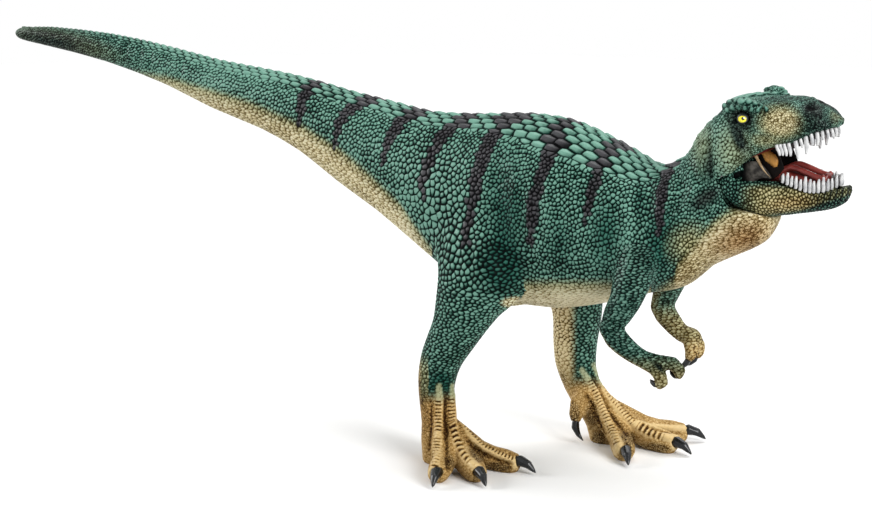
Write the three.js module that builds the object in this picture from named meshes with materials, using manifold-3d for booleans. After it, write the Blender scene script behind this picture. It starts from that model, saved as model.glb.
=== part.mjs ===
// Toy figure of a large two-legged meat-eating dinosaur with a moving lower jaw.
// Millimetres. +X is forward, +Y is the animal's left side, +Z is up.
import * as THREE from 'three';
import { mergeVertices } from 'three/addons/utils/BufferGeometryUtils.js';
import Module from 'manifold-3d';

const wasm = await Module();
wasm.setup();

// Driving sizes of the trunk
const tailLength = 126; // tail tip to rump
const bodyLength = 66; // rump to base of the neck
const backHeight = 84; // floor to the top of the back
const bodyDepth = 46;
const bodyWidth = 34;
const tailDepth = 33;
const tailWidth = 25;
const neckReach = 22; // forward, from the base of the neck
const neckWidth = 20;

// Driving sizes of the head
const hingeAhead = 15.5; // jaw hinge ahead of the base of the neck
const hingeHeight = 77.6;
const headLength = 26.1; // jaw hinge to snout tip
const headDepth = 17;
const headWidth = 22;
const jawLength = 28.2; // jaw hinge to chin
const jawDepth = 9;
const jawWidth = 16;
const mouthWall = 1.5; // thickness of the lips and cheeks
const trayWall = 1.5; // thickness of the lower jaw
const hingeEyeRadius = 2.5;
const hingeEyeInner = 7.0; // middle of the head to the inner face of a hinge eye
const hingeEyeOuter = 8.9;
const pinRadius = 0.9;
const pinHalfLength = 9.7;
const throatRadius = 3.8; // round plug of the throat between the hinge eyes
const jawClosing = 16; // degrees from wide open to shut
const eyeRadius = 1.45;
const palateThickness = 1.1;
const upperToothLength = 3.1;
const lowerToothLength = 2.7;
const toothWidth = 1.15;
const gumHalfWidth = 0.55;
const gumHalfHeight = 0.45;
const teethPerSide = 10;
const toothWaist = 0.72; // width half way down a tooth over its width at the gum
const toothPoint = 0.12;
const shortToothWidth = 0.7; // width of a tooth of no length over the full width
const crestHeight = 1.9;
const crestWidth = 1.33;

// Driving sizes of the limbs
const stanceWidth = 35.4; // between the middles of the two feet
const thighDepth = 26;
const shinDepth = 10.6;
const ankleDepth = 8.2;
const toeLength = 22.4; // middle of the foot to the claw tip
const toeWidth = 5.4;
const footHeight = 14; // floor to where the toes gather under the ankle
const footClawLength = 6.2;
const footClawRadius = 1.45;
const dewToeRadius = 1.7;
const hipSeat = 7.5; // middle of the trunk to the flat back of each leg
const shoulderSeat = 8;
const armRadius = 4.4;
const fingerRadius = 1.7;
const handClawRadius = 0.85;
const handClawLength = 2.8;

// Joints between the cast pieces
const seamGap = 0.3;
const sweepGap = 0.45; // round the moving jaw
const pegRadius = 4;
const pegLength = 9;
const headPegRadius = 2.2;
const headPegLength = 7;
const overrun = 60; // how far a cutting block runs past what it cuts
const weldReach = seamGap / 1000; // corners nearer than this are one corner
const finestDetail = seamGap / 8;

// Where the limbs are pegged on, as heights over the height of the back
const hipShare = 0.66;
const shoulderShare = 0.66;
const shoulderAhead = 0.955; // over the body's length
const armPegShift = pegLength / 4; // the arms' pegs sit further out than the legs'
const rightFootAhead = 0.24; // over the body's length
const leftFootAhead = 0.635;

// Places on the head, from the jaw hinge: ahead, across and up, over the head's length, half width and depth
const eyeShares = [0.20, 0.885, 0.775];
const nostrilShares = [0.80, 0.36, 0.93];
const crestAcross = 0.74;

const xAxis = new THREE.Vector3(1, 0, 0);
const yAxis = new THREE.Vector3(0, 1, 0);
const zAxis = new THREE.Vector3(0, 0, 1);
const right = -1;
const left = 1;

// Solid helpers

function solidOf(geometry) {
  const bare = new THREE.BufferGeometry();
  bare.setAttribute('position', geometry.getAttribute('position'));
  bare.setIndex(geometry.index);
  const merged = mergeVertices(bare, weldReach);
  return new wasm.Manifold(new wasm.Mesh({
    numProp: 3,
    vertProperties: new Float32Array(merged.attributes.position.array),
    triVerts: new Uint32Array(merged.index.array),
  }));
}

function geometryOf(solid) {
  const mesh = solid.simplify(finestDetail).getMesh();
  const geometry = new THREE.BufferGeometry();
  geometry.setAttribute('position', new THREE.BufferAttribute(mesh.vertProperties, 3));
  geometry.setIndex(new THREE.BufferAttribute(mesh.triVerts, 1));
  const faceted = geometry.toNonIndexed();
  faceted.computeVertexNormals();
  return faceted;
}

function joined(solids) {
  return solids.reduce((whole, solid) => whole.add(solid));
}

function cut(solid, cutters) {
  return cutters.reduce((rest, cutter) => rest.subtract(cutter), solid);
}

// A block that fills everything in front of a plane
function blockAhead(point, normal) {
  const block = new THREE.BoxGeometry(2 * overrun, 4 * overrun, 4 * overrun);
  block.translate(overrun, 0, 0);
  const turn = new THREE.Quaternion().setFromUnitVectors(xAxis, normal.clone().normalize());
  block.applyQuaternion(turn);
  block.translate(point.x, point.y, point.z);
  return solidOf(block);
}

function rodBetween(from, to, radius, sides = 12) {
  const along = to.clone().sub(from);
  const rod = new THREE.CylinderGeometry(radius, radius, along.length(), sides);
  const turn = new THREE.Quaternion().setFromUnitVectors(yAxis, along.clone().normalize());
  rod.applyQuaternion(turn);
  const middle = from.clone().add(to).multiplyScalar(1 / 2);
  rod.translate(middle.x, middle.y, middle.z);
  return solidOf(rod);
}

// Lofts: a closed skin through stations, each with a middle and its half sizes above, below and across

function station(x, y, z, up, down = up, wide = up) {
  return { middle: new THREE.Vector3(x, y, z), up, down, wide };
}

// A section that leans back, given by its highest and lowest points
function leaningStation(top, bottom, wide) {
  const middle = top.clone().add(bottom).multiplyScalar(1 / 2);
  const half = top.distanceTo(bottom) / 2;
  return { middle, up: half, down: half, wide, lean: Math.atan2(bottom.x - top.x, top.z - bottom.z) };
}

function leanAt(stations, t) {
  const reach = t * (stations.length - 1);
  const first = Math.min(Math.floor(reach), stations.length - 2);
  const [a, b] = [stations[first].lean ?? 0, stations[first + 1].lean ?? 0];
  return a + (b - a) * (reach - first);
}

function sectionPoint(angle, size, powers) {
  const c = Math.cos(angle);
  const s = Math.sin(angle);
  const power = s >= 0 ? powers[0] : powers[1];
  const across = Math.sign(c) * Math.abs(c) ** (2 / power) * size.z;
  const height = Math.sign(s) * Math.abs(s) ** (2 / power) * (s >= 0 ? size.x : size.y);
  return [across, height];
}

function loft(stations, { steps = 2, sides = 16, upright = false, powers = [2.1, 2.1], grow = 0 } = {}) {
  const path = new THREE.CatmullRomCurve3(stations.map((s) => s.middle), false, 'centripetal');
  const sizes = new THREE.CatmullRomCurve3(
    stations.map((s) => new THREE.Vector3(s.up, s.down, s.wide)), false, 'centripetal');
  const ringCount = (stations.length - 1) * steps + 1;
  const positions = [];
  const poles = [];
  const index = [];
  for (let i = 0; i < ringCount; i += 1) {
    const t = i / (ringCount - 1);
    const middle = path.getPoint(t);
    const tangent = path.getTangent(t);
    if (i === 0) middle.addScaledVector(tangent, -grow);
    if (i === ringCount - 1) middle.addScaledVector(tangent, grow);
    const lean = leanAt(stations, t);
    const forward = upright ? new THREE.Vector3(Math.cos(lean), 0, Math.sin(lean)) : tangent;
    const across = yAxis.clone().addScaledVector(forward, -yAxis.dot(forward)).normalize();
    const above = forward.clone().cross(across);
    const size = sizes.getPoint(t).addScalar(grow);
    for (let j = 0; j < sides; j += 1) {
      const [a, h] = sectionPoint((j / sides) * 2 * Math.PI, size, powers);
      const point = middle.clone().addScaledVector(across, a).addScaledVector(above, h);
      positions.push(point.x, point.y, point.z);
    }
    if (i === 0 || i === ringCount - 1) poles.push(middle.x, middle.y, middle.z);
  }
  positions.push(...poles);
  for (let i = 0; i < ringCount - 1; i += 1) {
    for (let j = 0; j < sides; j += 1) {
      const a = i * sides + j;
      const b = i * sides + (j + 1) % sides;
      index.push(a, b, b + sides, a, b + sides, a + sides);
    }
  }
  const startPole = ringCount * sides;
  const lastRing = startPole - sides;
  for (let j = 0; j < sides; j += 1) {
    index.push(startPole, (j + 1) % sides, j);
    index.push(startPole + 1, lastRing + j, lastRing + (j + 1) % sides);
  }
  const geometry = new THREE.BufferGeometry();
  geometry.setAttribute('position', new THREE.BufferAttribute(new Float32Array(positions), 3));
  geometry.setIndex(index);
  return solidOf(geometry);
}

// Trunk: one skin from tail tip to neck, then split at the casting seams

// Along the tail from the rump, height, half depth, half width
const tailShares = [
  [-1.000, 1.075, 0.010, 0.020],
  [-0.990, 1.075, 0.040, 0.055],
  [-0.965, 1.075, 0.055, 0.070],
  [-0.910, 1.075, 0.075, 0.100],
  [-0.760, 1.060, 0.110, 0.145],
  [-0.615, 1.025, 0.145, 0.180],
  [-0.500, 0.985, 0.185, 0.230],
  [-0.375, 0.955, 0.225, 0.295],
  [-0.280, 0.920, 0.275, 0.350],
  [-0.190, 0.870, 0.345, 0.415],
  [-0.095, 0.825, 0.415, 0.485],
  [-0.015, 0.780, 0.490, 0.545],
];
const bodyShares = [
  [0.105, 0.750, 0.415, 0.440],
  [0.240, 0.730, 0.470, 0.480],
  [0.405, 0.725, 0.505, 0.500],
  [0.545, 0.725, 0.500, 0.505],
  [0.695, 0.720, 0.445, 0.490],
  [0.825, 0.715, 0.380, 0.445],
  [0.930, 0.715, 0.325, 0.400],
];
// Along the neck from its base: nape, height of the nape, throat, height of the throat, half width
const neckShares = [
  [0.020, 0.920, 0.160, 0.565, 0.620],
  [0.175, 0.950, 0.430, 0.630, 0.540],
  [0.270, 1.000, 0.760, 0.675, 0.480],
  [0.375, 1.040, 1.060, 0.720, 0.450],
  [0.540, 1.075, 1.200, 0.790, 0.400],
];
const rows = (shares, length, depth, width) => shares.map(([along, high, half, wide]) => station(
  along * length, 0, high * backHeight, half * depth, half * depth, wide * width));
const neckRows = neckShares.map(([nape, napeHigh, throat, throatHigh, wide]) => leaningStation(
  new THREE.Vector3(bodyLength + nape * neckReach, 0, napeHigh * backHeight),
  new THREE.Vector3(bodyLength + throat * neckReach, 0, throatHigh * backHeight),
  wide * neckWidth));
const trunkStations = [
  ...rows(tailShares, tailLength, tailDepth, tailWidth),
  ...rows(bodyShares, bodyLength, bodyDepth, bodyWidth),
  ...neckRows,
];
const trunk = loft(trunkStations, { sides: 22, upright: true, powers: [2.0, 2.2] });

const tailSeamPoint = new THREE.Vector3(-0.19 * tailLength, 0, 0.87 * backHeight);
const tailSeamNormal = new THREE.Vector3(1, 0, -0.35);
const neckSeamPoint = new THREE.Vector3(bodyLength + 0.04 * neckReach, 0, 0.75 * backHeight);
const neckSeamNormal = new THREE.Vector3(1, 0, 0.2);

function peg(point, normal, grow = 0, radius = pegRadius, length = pegLength) {
  const direction = normal.clone().normalize();
  const reach = length / 2;
  const from = point.clone().addScaledVector(direction, -reach - grow);
  const to = point.clone().addScaledVector(direction, reach + grow);
  return rodBetween(from, to, radius + grow);
}

function shifted(point, normal, distance) {
  return point.clone().addScaledVector(normal.clone().normalize(), distance);
}

// Legs: the right one trails and the left one leads

const shank = { thigh: thighDepth / 2, shin: shinDepth / 2, ankle: ankleDepth / 2 };
const footPlaces = {
  [right]: new THREE.Vector3(rightFootAhead * bodyLength, -stanceWidth / 2, 0),
  [left]: new THREE.Vector3(leftFootAhead * bodyLength, stanceWidth / 2, 0),
};
const footYaws = { [right]: -36, [left]: -10 };
const toeSplays = { [right]: [-37, -4, 38], [left]: [-45, 3, 38] };

// Down each leg: forward from the rump, sideways over half the stance, height,
// the part that it is measured by, half depth and half width over that part's
const legShares = {
  [right]: [
    [0.330, 0.48, 0.780, 'thigh', 0.80, 0.36],
    [0.330, 0.60, 0.665, 'thigh', 1.08, 0.62],
    [0.315, 0.73, 0.560, 'thigh', 0.92, 0.62],
    [0.280, 0.82, 0.485, 'thigh', 0.66, 0.55],
    [0.235, 0.86, 0.395, 'shin', 1.16, 1.12],
    [0.175, 0.88, 0.305, 'shin', 0.95, 0.98],
    [0.155, 0.90, 0.235, 'ankle', 1.08, 1.10],
    [0.160, 0.93, 0.165, 'ankle', 0.98, 0.96],
    [0.175, 0.96, 0.115, 'ankle', 0.98, 1.06],
    [0.185, 0.99, 0.065, 'ankle', 1.08, 1.16],
    [0.190, 1.00, -0.020, 'ankle', 1.02, 1.02],
  ],
  [left]: [
    [0.345, 0.48, 0.780, 'thigh', 0.80, 0.36],
    [0.380, 0.60, 0.665, 'thigh', 1.02, 0.62],
    [0.430, 0.73, 0.560, 'thigh', 0.84, 0.62],
    [0.470, 0.81, 0.480, 'thigh', 0.58, 0.53],
    [0.490, 0.85, 0.395, 'shin', 1.18, 1.08],
    [0.480, 0.87, 0.305, 'shin', 1.04, 0.98],
    [0.480, 0.88, 0.235, 'ankle', 1.24, 1.12],
    [0.505, 0.90, 0.165, 'ankle', 1.02, 0.98],
    [0.545, 0.93, 0.115, 'ankle', 0.98, 1.06],
    [0.585, 0.98, 0.065, 'ankle', 1.02, 1.12],
    [0.605, 1.00, -0.020, 'ankle', 0.94, 1.00],
  ],
};
const ankleRow = 7; // the toes gather at this row of the leg and the one below it

// Along a toe from the middle of the foot, height over the foot, half sizes over half the toe width
const gatherShares = [
  [0.02, 0.64],
  [0.09, 0.82],
];
const toeShares = [
  [0.30, 0.290, 0.96, 1.25, 1.00],
  [0.46, 0.215, 0.98, 1.25, 1.00],
  [0.62, 0.200, 0.94, 1.25, 1.02],
  [0.745, 0.180, 0.76, 1.05, 0.86],
  [0.79, 0.170, 0.38, 0.70, 0.48],
];
// Along a claw from its root, height over the foot, radius over the claw radius
const clawShares = [
  [0.00, 0.190, 0.80],
  [0.30, 0.225, 1.00],
  [0.66, 0.175, 0.74],
  [0.90, 0.085, 0.34],
  [1.00, 0.045, 0.10],
];

function legMiddle(side, [along, out, high]) {
  return new THREE.Vector3(along * bodyLength, side * out * stanceWidth / 2, high * backHeight);
}

function footDirection(side, splay) {
  return xAxis.clone().applyAxisAngle(zAxis, THREE.MathUtils.degToRad(footYaws[side] + splay));
}

function footStation(side, splay, along, height, up, down, wide) {
  const place = footPlaces[side].clone().addScaledVector(footDirection(side, splay), along);
  return station(place.x, place.y, height, up, down, wide);
}

function toe(side, splay) {
  const half = toeWidth / 2;
  const gathered = gatherShares.map(([along, thick], i) => {
    const middle = legMiddle(side, legShares[side][ankleRow + i]);
    middle.addScaledVector(footDirection(side, splay), along * toeLength);
    return { middle, up: thick * half, down: thick * half, wide: thick * half };
  });
  const flat = toeShares.map(([along, high, up, down, wide]) => footStation(
    side, splay, along * toeLength, high * footHeight, up * half, down * half, wide * half));
  return loft([...gathered, ...flat], { steps: 1, sides: 8 });
}

function footClaw(side, splay, grow = 0) {
  return loft(clawShares.map(([along, high, thick]) => footStation(
    side, splay, toeLength - (1 - along) * footClawLength, high * footHeight,
    thick * footClawRadius, thick * footClawRadius, thick * footClawRadius)), { steps: 1, sides: 7, grow });
}

// The small rear toe hangs on the inner back of the ankle
const dewShares = [
  [-0.280, 0.270, 0.160, 1.100],
  [-0.340, 0.335, 0.125, 1.000],
  [-0.340, 0.370, 0.088, 0.980],
  [-0.340, 0.380, 0.066, 0.600],
];
const dewClawShares = [
  [-0.340, 0.380, 0.072, 0.520],
  [-0.340, 0.390, 0.050, 0.600],
  [-0.300, 0.390, 0.028, 0.360],
  [-0.240, 0.390, 0.012, 0.100],
];

function dewLoft(side, shares, sides, grow = 0) {
  const place = footPlaces[side];
  return loft(shares.map(([along, inward, high, thick]) => station(
    place.x + along * toeLength, place.y - side * inward * stanceWidth / 2,
    high * backHeight, thick * dewToeRadius)), { steps: 1, sides, grow });
}

function legForm(side, grow = 0) {
  return loft(legShares[side].map((row) => {
    const [limb, fore, wide] = row.slice(3);
    const half = fore * shank[limb];
    return { middle: legMiddle(side, row), up: half, down: half, wide: wide * shank[limb] };
  }), { sides: 12, grow });
}

const floorBlock = blockAhead(new THREE.Vector3(), zAxis.clone().negate());

function hipPlace(side) {
  return new THREE.Vector3(legShares[side][1][0] * bodyLength, side * hipSeat, hipShare * backHeight);
}

function leg(side) {
  const hip = hipPlace(side);
  const inward = new THREE.Vector3(0, -side, 0);
  const form = cut(legForm(side), [blockAhead(new THREE.Vector3(0, side * hipSeat, 0), inward)]);
  const toes = toeSplays[side].map((splay) => toe(side, splay));
  const claws = toeSplays[side].map((splay) => footClaw(side, splay, seamGap));
  const whole = joined([form, ...toes, dewLoft(side, dewShares, 8), peg(hip, inward)]);
  return cut(whole, [...claws, dewLoft(side, dewClawShares, 8, seamGap), floorBlock]);
}

function legSocket(side) {
  const hip = hipPlace(side);
  const inward = new THREE.Vector3(0, -side, 0);
  const seat = new THREE.Vector3(0, side * (hipSeat - seamGap), 0);
  return cut(legForm(side, seamGap), [blockAhead(seat, inward)]).add(peg(hip, inward, seamGap));
}

// Arms: short, with two fingers each

// Down each arm: forward from the rump, sideways over half the stance, height, radius over the arm radius
const armShares = {
  [right]: [
    [0.935, 0.50, 0.665, 1.10],
    [0.930, 0.72, 0.610, 1.06],
    [0.915, 0.86, 0.540, 0.84],
    [0.875, 0.94, 0.465, 0.66],
    [0.925, 0.93, 0.420, 0.56],
    [0.990, 0.90, 0.390, 0.46],
    [1.045, 0.86, 0.375, 0.52],
    [1.075, 0.84, 0.370, 0.40],
  ],
  [left]: [
    [0.925, 0.50, 0.665, 1.10],
    [0.915, 0.68, 0.600, 1.00],
    [0.880, 0.82, 0.520, 0.78],
    [0.840, 0.85, 0.440, 0.66],
    [0.880, 0.83, 0.400, 0.56],
    [0.930, 0.80, 0.370, 0.46],
    [0.970, 0.78, 0.365, 0.52],
    [0.990, 0.77, 0.350, 0.40],
  ],
};
const fingerShares = {
  [right]: [
    [
      [1.050, 0.79, 0.380, 0.86],
      [1.095, 0.75, 0.380, 0.92],
      [1.120, 0.73, 0.360, 0.86],
      [1.110, 0.73, 0.340, 0.62],
    ],
    [
      [1.045, 0.90, 0.365, 0.86],
      [1.070, 0.93, 0.350, 0.92],
      [1.075, 0.94, 0.330, 0.86],
      [1.060, 0.94, 0.320, 0.62],
    ],
  ],
  [left]: [
    [
      [0.970, 0.84, 0.360, 0.86],
      [0.990, 0.86, 0.340, 0.92],
      [0.990, 0.86, 0.320, 0.86],
      [0.980, 0.86, 0.305, 0.62],
    ],
    [
      [0.970, 0.70, 0.360, 0.86],
      [0.985, 0.67, 0.335, 0.90],
      [0.985, 0.66, 0.320, 0.82],
      [0.975, 0.66, 0.305, 0.60],
    ],
  ],
};
// Each hand claw leaves its finger tip and hooks backwards; the right fist is closed over its claws
const handClawShares = {
  [right]: [
    [0.10, 0.14, 0.90],
    [-0.22, 0.14, 1.00],
    [-0.54, 0.30, 0.66],
    [-0.74, 0.52, 0.12],
  ],
  [left]: [
    [0.02, 0.05, 0.90],
    [-0.20, -0.35, 1.00],
    [-0.62, -0.78, 0.66],
    [-1.00, -1.00, 0.12],
  ],
};

function limbStation(side, [along, out, high, thick], radius) {
  return station(along * bodyLength, side * out * stanceWidth / 2, high * backHeight, thick * radius);
}

function armForm(side, grow = 0) {
  return loft(armShares[side].map((row) => limbStation(side, row, armRadius)), { sides: 8, grow });
}

function handClaw(side, finger, grow = 0) {
  const tip = limbStation(side, fingerShares[side][finger].at(-1), fingerRadius).middle;
  return loft(handClawShares[side].map(([along, high, thick]) => station(
    tip.x + along * handClawLength, tip.y, tip.z + high * handClawLength,
    thick * handClawRadius)), { steps: 1, sides: 7, grow });
}

function armPeg(side, grow = 0) {
  const inward = new THREE.Vector3(0, -side, 0);
  const shoulder = new THREE.Vector3(
    shoulderAhead * bodyLength, side * shoulderSeat, shoulderShare * backHeight);
  return peg(shifted(shoulder, inward, -armPegShift), inward, grow);
}

function arm(side) {
  const inward = new THREE.Vector3(0, -side, 0);
  const form = cut(armForm(side), [blockAhead(new THREE.Vector3(0, side * shoulderSeat, 0), inward)]);
  const fingers = fingerShares[side].map((finger) => loft(
    finger.map((row) => limbStation(side, row, fingerRadius)), { steps: 1, sides: 8 }));
  return cut(joined([form, ...fingers, armPeg(side)]), [0, 1].map((f) => handClaw(side, f, seamGap)));
}

function armSocket(side) {
  const inward = new THREE.Vector3(0, -side, 0);
  const seat = new THREE.Vector3(0, side * (shoulderSeat - seamGap), 0);
  return cut(armForm(side, seamGap), [blockAhead(seat, inward)]).add(armPeg(side, seamGap));
}

// Head: everything is placed from the middle of the jaw hinge

const hinge = new THREE.Vector3(bodyLength + hingeAhead, 0, hingeHeight);

function headStation(along, high, up, down, wide, length = headLength, depth = headDepth, width = headWidth) {
  return station(
    hinge.x + along * length, 0, hinge.z + high * depth, up * depth, down * depth, wide * width / 2);
}

// Ahead of the hinge, above the hinge, half sizes up, down and across
const skullShares = [
  [-0.330, 0.230, 0.280, 0.400, 0.700],
  [-0.210, 0.260, 0.320, 0.470, 0.875],
  [-0.055, 0.360, 0.500, 0.535, 1.000],
  [0.095, 0.450, 0.490, 0.475, 1.020],
  [0.250, 0.575, 0.400, 0.395, 0.945],
  [0.400, 0.680, 0.325, 0.320, 0.800],
  [0.555, 0.715, 0.300, 0.300, 0.700],
  [0.710, 0.750, 0.245, 0.245, 0.625],
  [0.850, 0.765, 0.140, 0.145, 0.510],
  [0.940, 0.735, 0.045, 0.040, 0.345],
  [0.970, 0.720, 0.025, 0.025, 0.165],
];
const skullSection = { sides: 20, upright: true, powers: [2.5, 4.6] };

function skullForm(grow = 0) {
  return loft(skullShares.map((row) => headStation(...row)), { ...skullSection, grow });
}

// The roof of the mouth, as heights above the hinge
const mouthShares = [
  [-0.420, 0.240, 0.800, 0.800],
  [-0.200, 0.250, 0.800, 0.920],
  [-0.060, 0.260, 0.800, 0.990],
  [0.095, 0.300, 0.800, 0.990],
  [0.250, 0.420, 0.800, 0.950],
  [0.400, 0.520, 0.800, 0.800],
  [0.555, 0.620, 0.800, 0.680],
  [0.710, 0.700, 0.800, 0.590],
  [0.820, 0.745, 0.800, 0.460],
  [0.875, 0.745, 0.700, 0.240],
];

function mouthHollow(shrink = 0, lower = 0) {
  const stations = mouthShares.map(([along, roof, deep, wide]) => {
    const height = deep * headDepth;
    const half = wide * (headWidth / 2 - mouthWall) - shrink;
    const top = hinge.z + roof * headDepth - shrink - lower;
    return station(hinge.x + along * headLength - shrink, 0, top - height / 2, height / 2, height / 2, half);
  });
  return loft(stations, { steps: 1, sides: 14, upright: true, powers: [2.6, 6] });
}

// Cheeks: a slot on each side for the jaw's hinge eye
function hingeEye(side, grow = 0) {
  const inner = new THREE.Vector3(hinge.x, side * (hingeEyeInner - grow), hinge.z);
  const outer = new THREE.Vector3(hinge.x, side * (hingeEyeOuter + grow), hinge.z);
  return rodBetween(inner, outer, hingeEyeRadius + grow, 16);
}

function jawPin(grow = 0) {
  const reach = pinHalfLength + grow;
  const from = new THREE.Vector3(hinge.x, -reach, hinge.z);
  const to = new THREE.Vector3(hinge.x, reach, hinge.z);
  return rodBetween(from, to, pinRadius + grow, 12);
}

// Lower jaw: a tray open at the top and the back
const jawShares = [
  [0.000, -0.345, 0.345, 0.335, 1.100],
  [0.070, -0.510, 0.460, 0.420, 1.110],
  [0.160, -0.610, 0.500, 0.450, 1.060],
  [0.300, -0.620, 0.545, 0.550, 0.930],
  [0.445, -0.600, 0.520, 0.530, 0.790],
  [0.585, -0.555, 0.360, 0.480, 0.690],
  [0.725, -0.535, 0.270, 0.400, 0.620],
  [0.870, -0.490, 0.260, 0.320, 0.530],
  [0.960, -0.400, 0.180, 0.240, 0.380],
  [1.000, -0.330, 0.080, 0.110, 0.180],
];

function jawForm(grow = 0, detail = { steps: 2, sides: 16 }) {
  const form = loft(jawShares.map((row) => headStation(...row, jawLength, jawDepth, jawWidth)),
    { ...detail, upright: true, powers: [3.4, 2.3], grow });
  return joined([form, hingeEye(right, grow), hingeEye(left, grow)]);
}

// Floor of the tray, below the hinge
const trayShares = [
  [-0.120, -1.900, 0.960],
  [0.060, -1.150, 0.970],
  [0.160, -0.960, 0.930],
  [0.300, -0.980, 0.810],
  [0.445, -0.940, 0.650],
  [0.585, -0.860, 0.545],
  [0.725, -0.770, 0.475],
  [0.855, -0.640, 0.380],
  [0.915, -0.540, 0.220],
];

function trayHollow(shrink = 0) {
  const stations = trayShares.map(([along, floor, wide]) => {
    const bottom = hinge.z + floor * jawDepth + shrink;
    const height = headDepth;
    const half = wide * (jawWidth - trayWall) / 2 - shrink;
    return station(hinge.x + along * jawLength, 0, bottom + height / 2, height / 2, height / 2, half);
  });
  return loft(stations, { steps: 1, sides: 14, upright: true, powers: [6, 2.6] });
}

// Sweep of the jaw from open to shut, for what has to stay clear of it
function jawSweep() {
  const turns = [0, jawClosing / 2, jawClosing];
  return turns.map((degrees) => jawForm(sweepGap, { steps: 1, sides: 16 })
    .translate([-hinge.x, 0, -hinge.z]).rotate([0, -degrees, 0]).translate([hinge.x, 0, hinge.z]));
}

// Tooth rows: a gum band along the lip with curved teeth on it

// Along the lip: ahead of the hinge, height, half width, from the cheek to the front of the snout
const upperLipShares = [
  [0.400, 0.385, 0.745],
  [0.555, 0.440, 0.645],
  [0.710, 0.525, 0.570],
  [0.830, 0.625, 0.460],
  [0.905, 0.685, 0.290],
  [0.935, 0.705, 0.000],
];
const lowerLipShares = [
  [0.400, -0.085, 0.755],
  [0.550, -0.180, 0.640],
  [0.700, -0.265, 0.560],
  [0.820, -0.255, 0.480],
  [0.915, -0.230, 0.320],
  [0.950, -0.225, 0.000],
];

function lipCurve(shares, length, depth, width) {
  const half = shares.map(([along, high, out]) => new THREE.Vector3(
    hinge.x + along * length, -out * width / 2, hinge.z + high * depth));
  const other = half.slice(0, -1).reverse().map((p) => new THREE.Vector3(p.x, -p.y, p.z));
  return new THREE.CatmullRomCurve3([...half, ...other], false, 'centripetal');
}

const upperLip = lipCurve(upperLipShares, headLength, headDepth, headWidth);
const lowerLip = lipCurve(lowerLipShares, jawLength, jawDepth, jawWidth);

const gumSteps = 16;

function gumBand(curve, grow = 0) {
  const halfAcross = gumHalfWidth + grow;
  const halfHigh = gumHalfHeight + grow;
  const outline = new THREE.Shape([
    new THREE.Vector2(-halfHigh, -halfAcross),
    new THREE.Vector2(halfHigh, -halfAcross),
    new THREE.Vector2(halfHigh, halfAcross),
    new THREE.Vector2(-halfHigh, halfAcross),
  ]);
  const band = new THREE.ExtrudeGeometry(outline, { steps: gumSteps, extrudePath: curve });
  band.deleteAttribute('normal');
  band.deleteAttribute('uv');
  return solidOf(mergeVertices(band));
}

// Tooth lengths from the back of the mouth to the front
const upperToothShares = [0.56, 0.62, 0.74, 0.98, 0.60, 1.00, 0.62, 0.86, 0.58, 0.60];
const lowerToothShares = [0.50, 0.66, 0.74, 0.80, 0.66, 0.96, 0.78, 1.00, 0.84, 0.78];

function tooth(root, point, back, width) {
  const bend = root.clone().lerp(point, 1 / 2).addScaledVector(back, -width / 5);
  const half = width / 2;
  return loft([
    { middle: root, up: half, down: half, wide: half },
    { middle: bend, up: half * toothWaist, down: half * toothWaist, wide: half * toothWaist },
    { middle: point, up: half * toothPoint, down: half * toothPoint, wide: half * toothPoint },
  ], { steps: 1, sides: 4, powers: [2, 2] });
}

function toothRow(curve, shares, fullLength, sense) {
  const count = 2 * teethPerSide;
  const teeth = [];
  for (let i = 0; i < count; i += 1) {
    const t = (i + 1 / 2) / count;
    const share = shares[Math.min(i, count - 1 - i) % shares.length];
    const root = curve.getPointAt(t);
    const back = new THREE.Vector3(-1, 0, 0);
    const length = share * fullLength + gumHalfHeight;
    const point = root.clone()
      .addScaledVector(zAxis, sense * length)
      .addScaledVector(back, length / 5);
    const width = toothWidth * (shortToothWidth + (1 - shortToothWidth) * share);
    teeth.push(tooth(root, point, back, width));
  }
  return joined([gumBand(curve), ...teeth]);
}

// Brow crests, eye sockets and nostrils
const crestShares = [
  [-0.020, 0.760, 0.300],
  [0.100, 0.840, 0.750],
  [0.200, 0.955, 1.000],
  [0.300, 0.860, 0.750],
  [0.430, 0.780, 0.300],
];

function crest(side) {
  const y = side * crestAcross * headWidth / 2;
  return loft(crestShares.map(([along, high, thick]) => station(
    hinge.x + along * headLength, y, hinge.z + high * headDepth,
    thick * crestHeight, thick * crestHeight, thick * crestWidth)), { steps: 1, sides: 8, upright: true });
}

function ball(place, radius, columns = 10, rowCount = 7) {
  const sphere = new THREE.SphereGeometry(radius, columns, rowCount);
  sphere.translate(place.x, place.y, place.z);
  return solidOf(sphere);
}

function headPlace(side, [along, across, high]) {
  return new THREE.Vector3(
    hinge.x + along * headLength, side * across * headWidth / 2, hinge.z + high * headDepth);
}

function eyePlace(side) {
  return headPlace(side, eyeShares).addScaledVector(yAxis, -side * eyeRadius / 2);
}

function nostril(side) {
  return ball(headPlace(side, nostrilShares), eyeRadius / 2, 8, 6);
}

const headSeamPoint = new THREE.Vector3(hinge.x - 0.21 * headLength, 0, hinge.z + 0.46 * headDepth);
const headSeamNormal = new THREE.Vector3(1, 0, 0.06);
const headPegPoint = new THREE.Vector3(hinge.x - 0.20 * headLength, 0, hinge.z + 0.33 * headDepth);
const headPegDirection = new THREE.Vector3(1, 0, 1);
// The palate starts here and keeps above a plane that rises towards the snout
const palateRear = new THREE.Vector3(hinge.x + 0.24 * headLength, 0, hinge.z + 0.22 * headDepth);
const palateSlope = new THREE.Vector3(-0.47, 0, 1);

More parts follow.
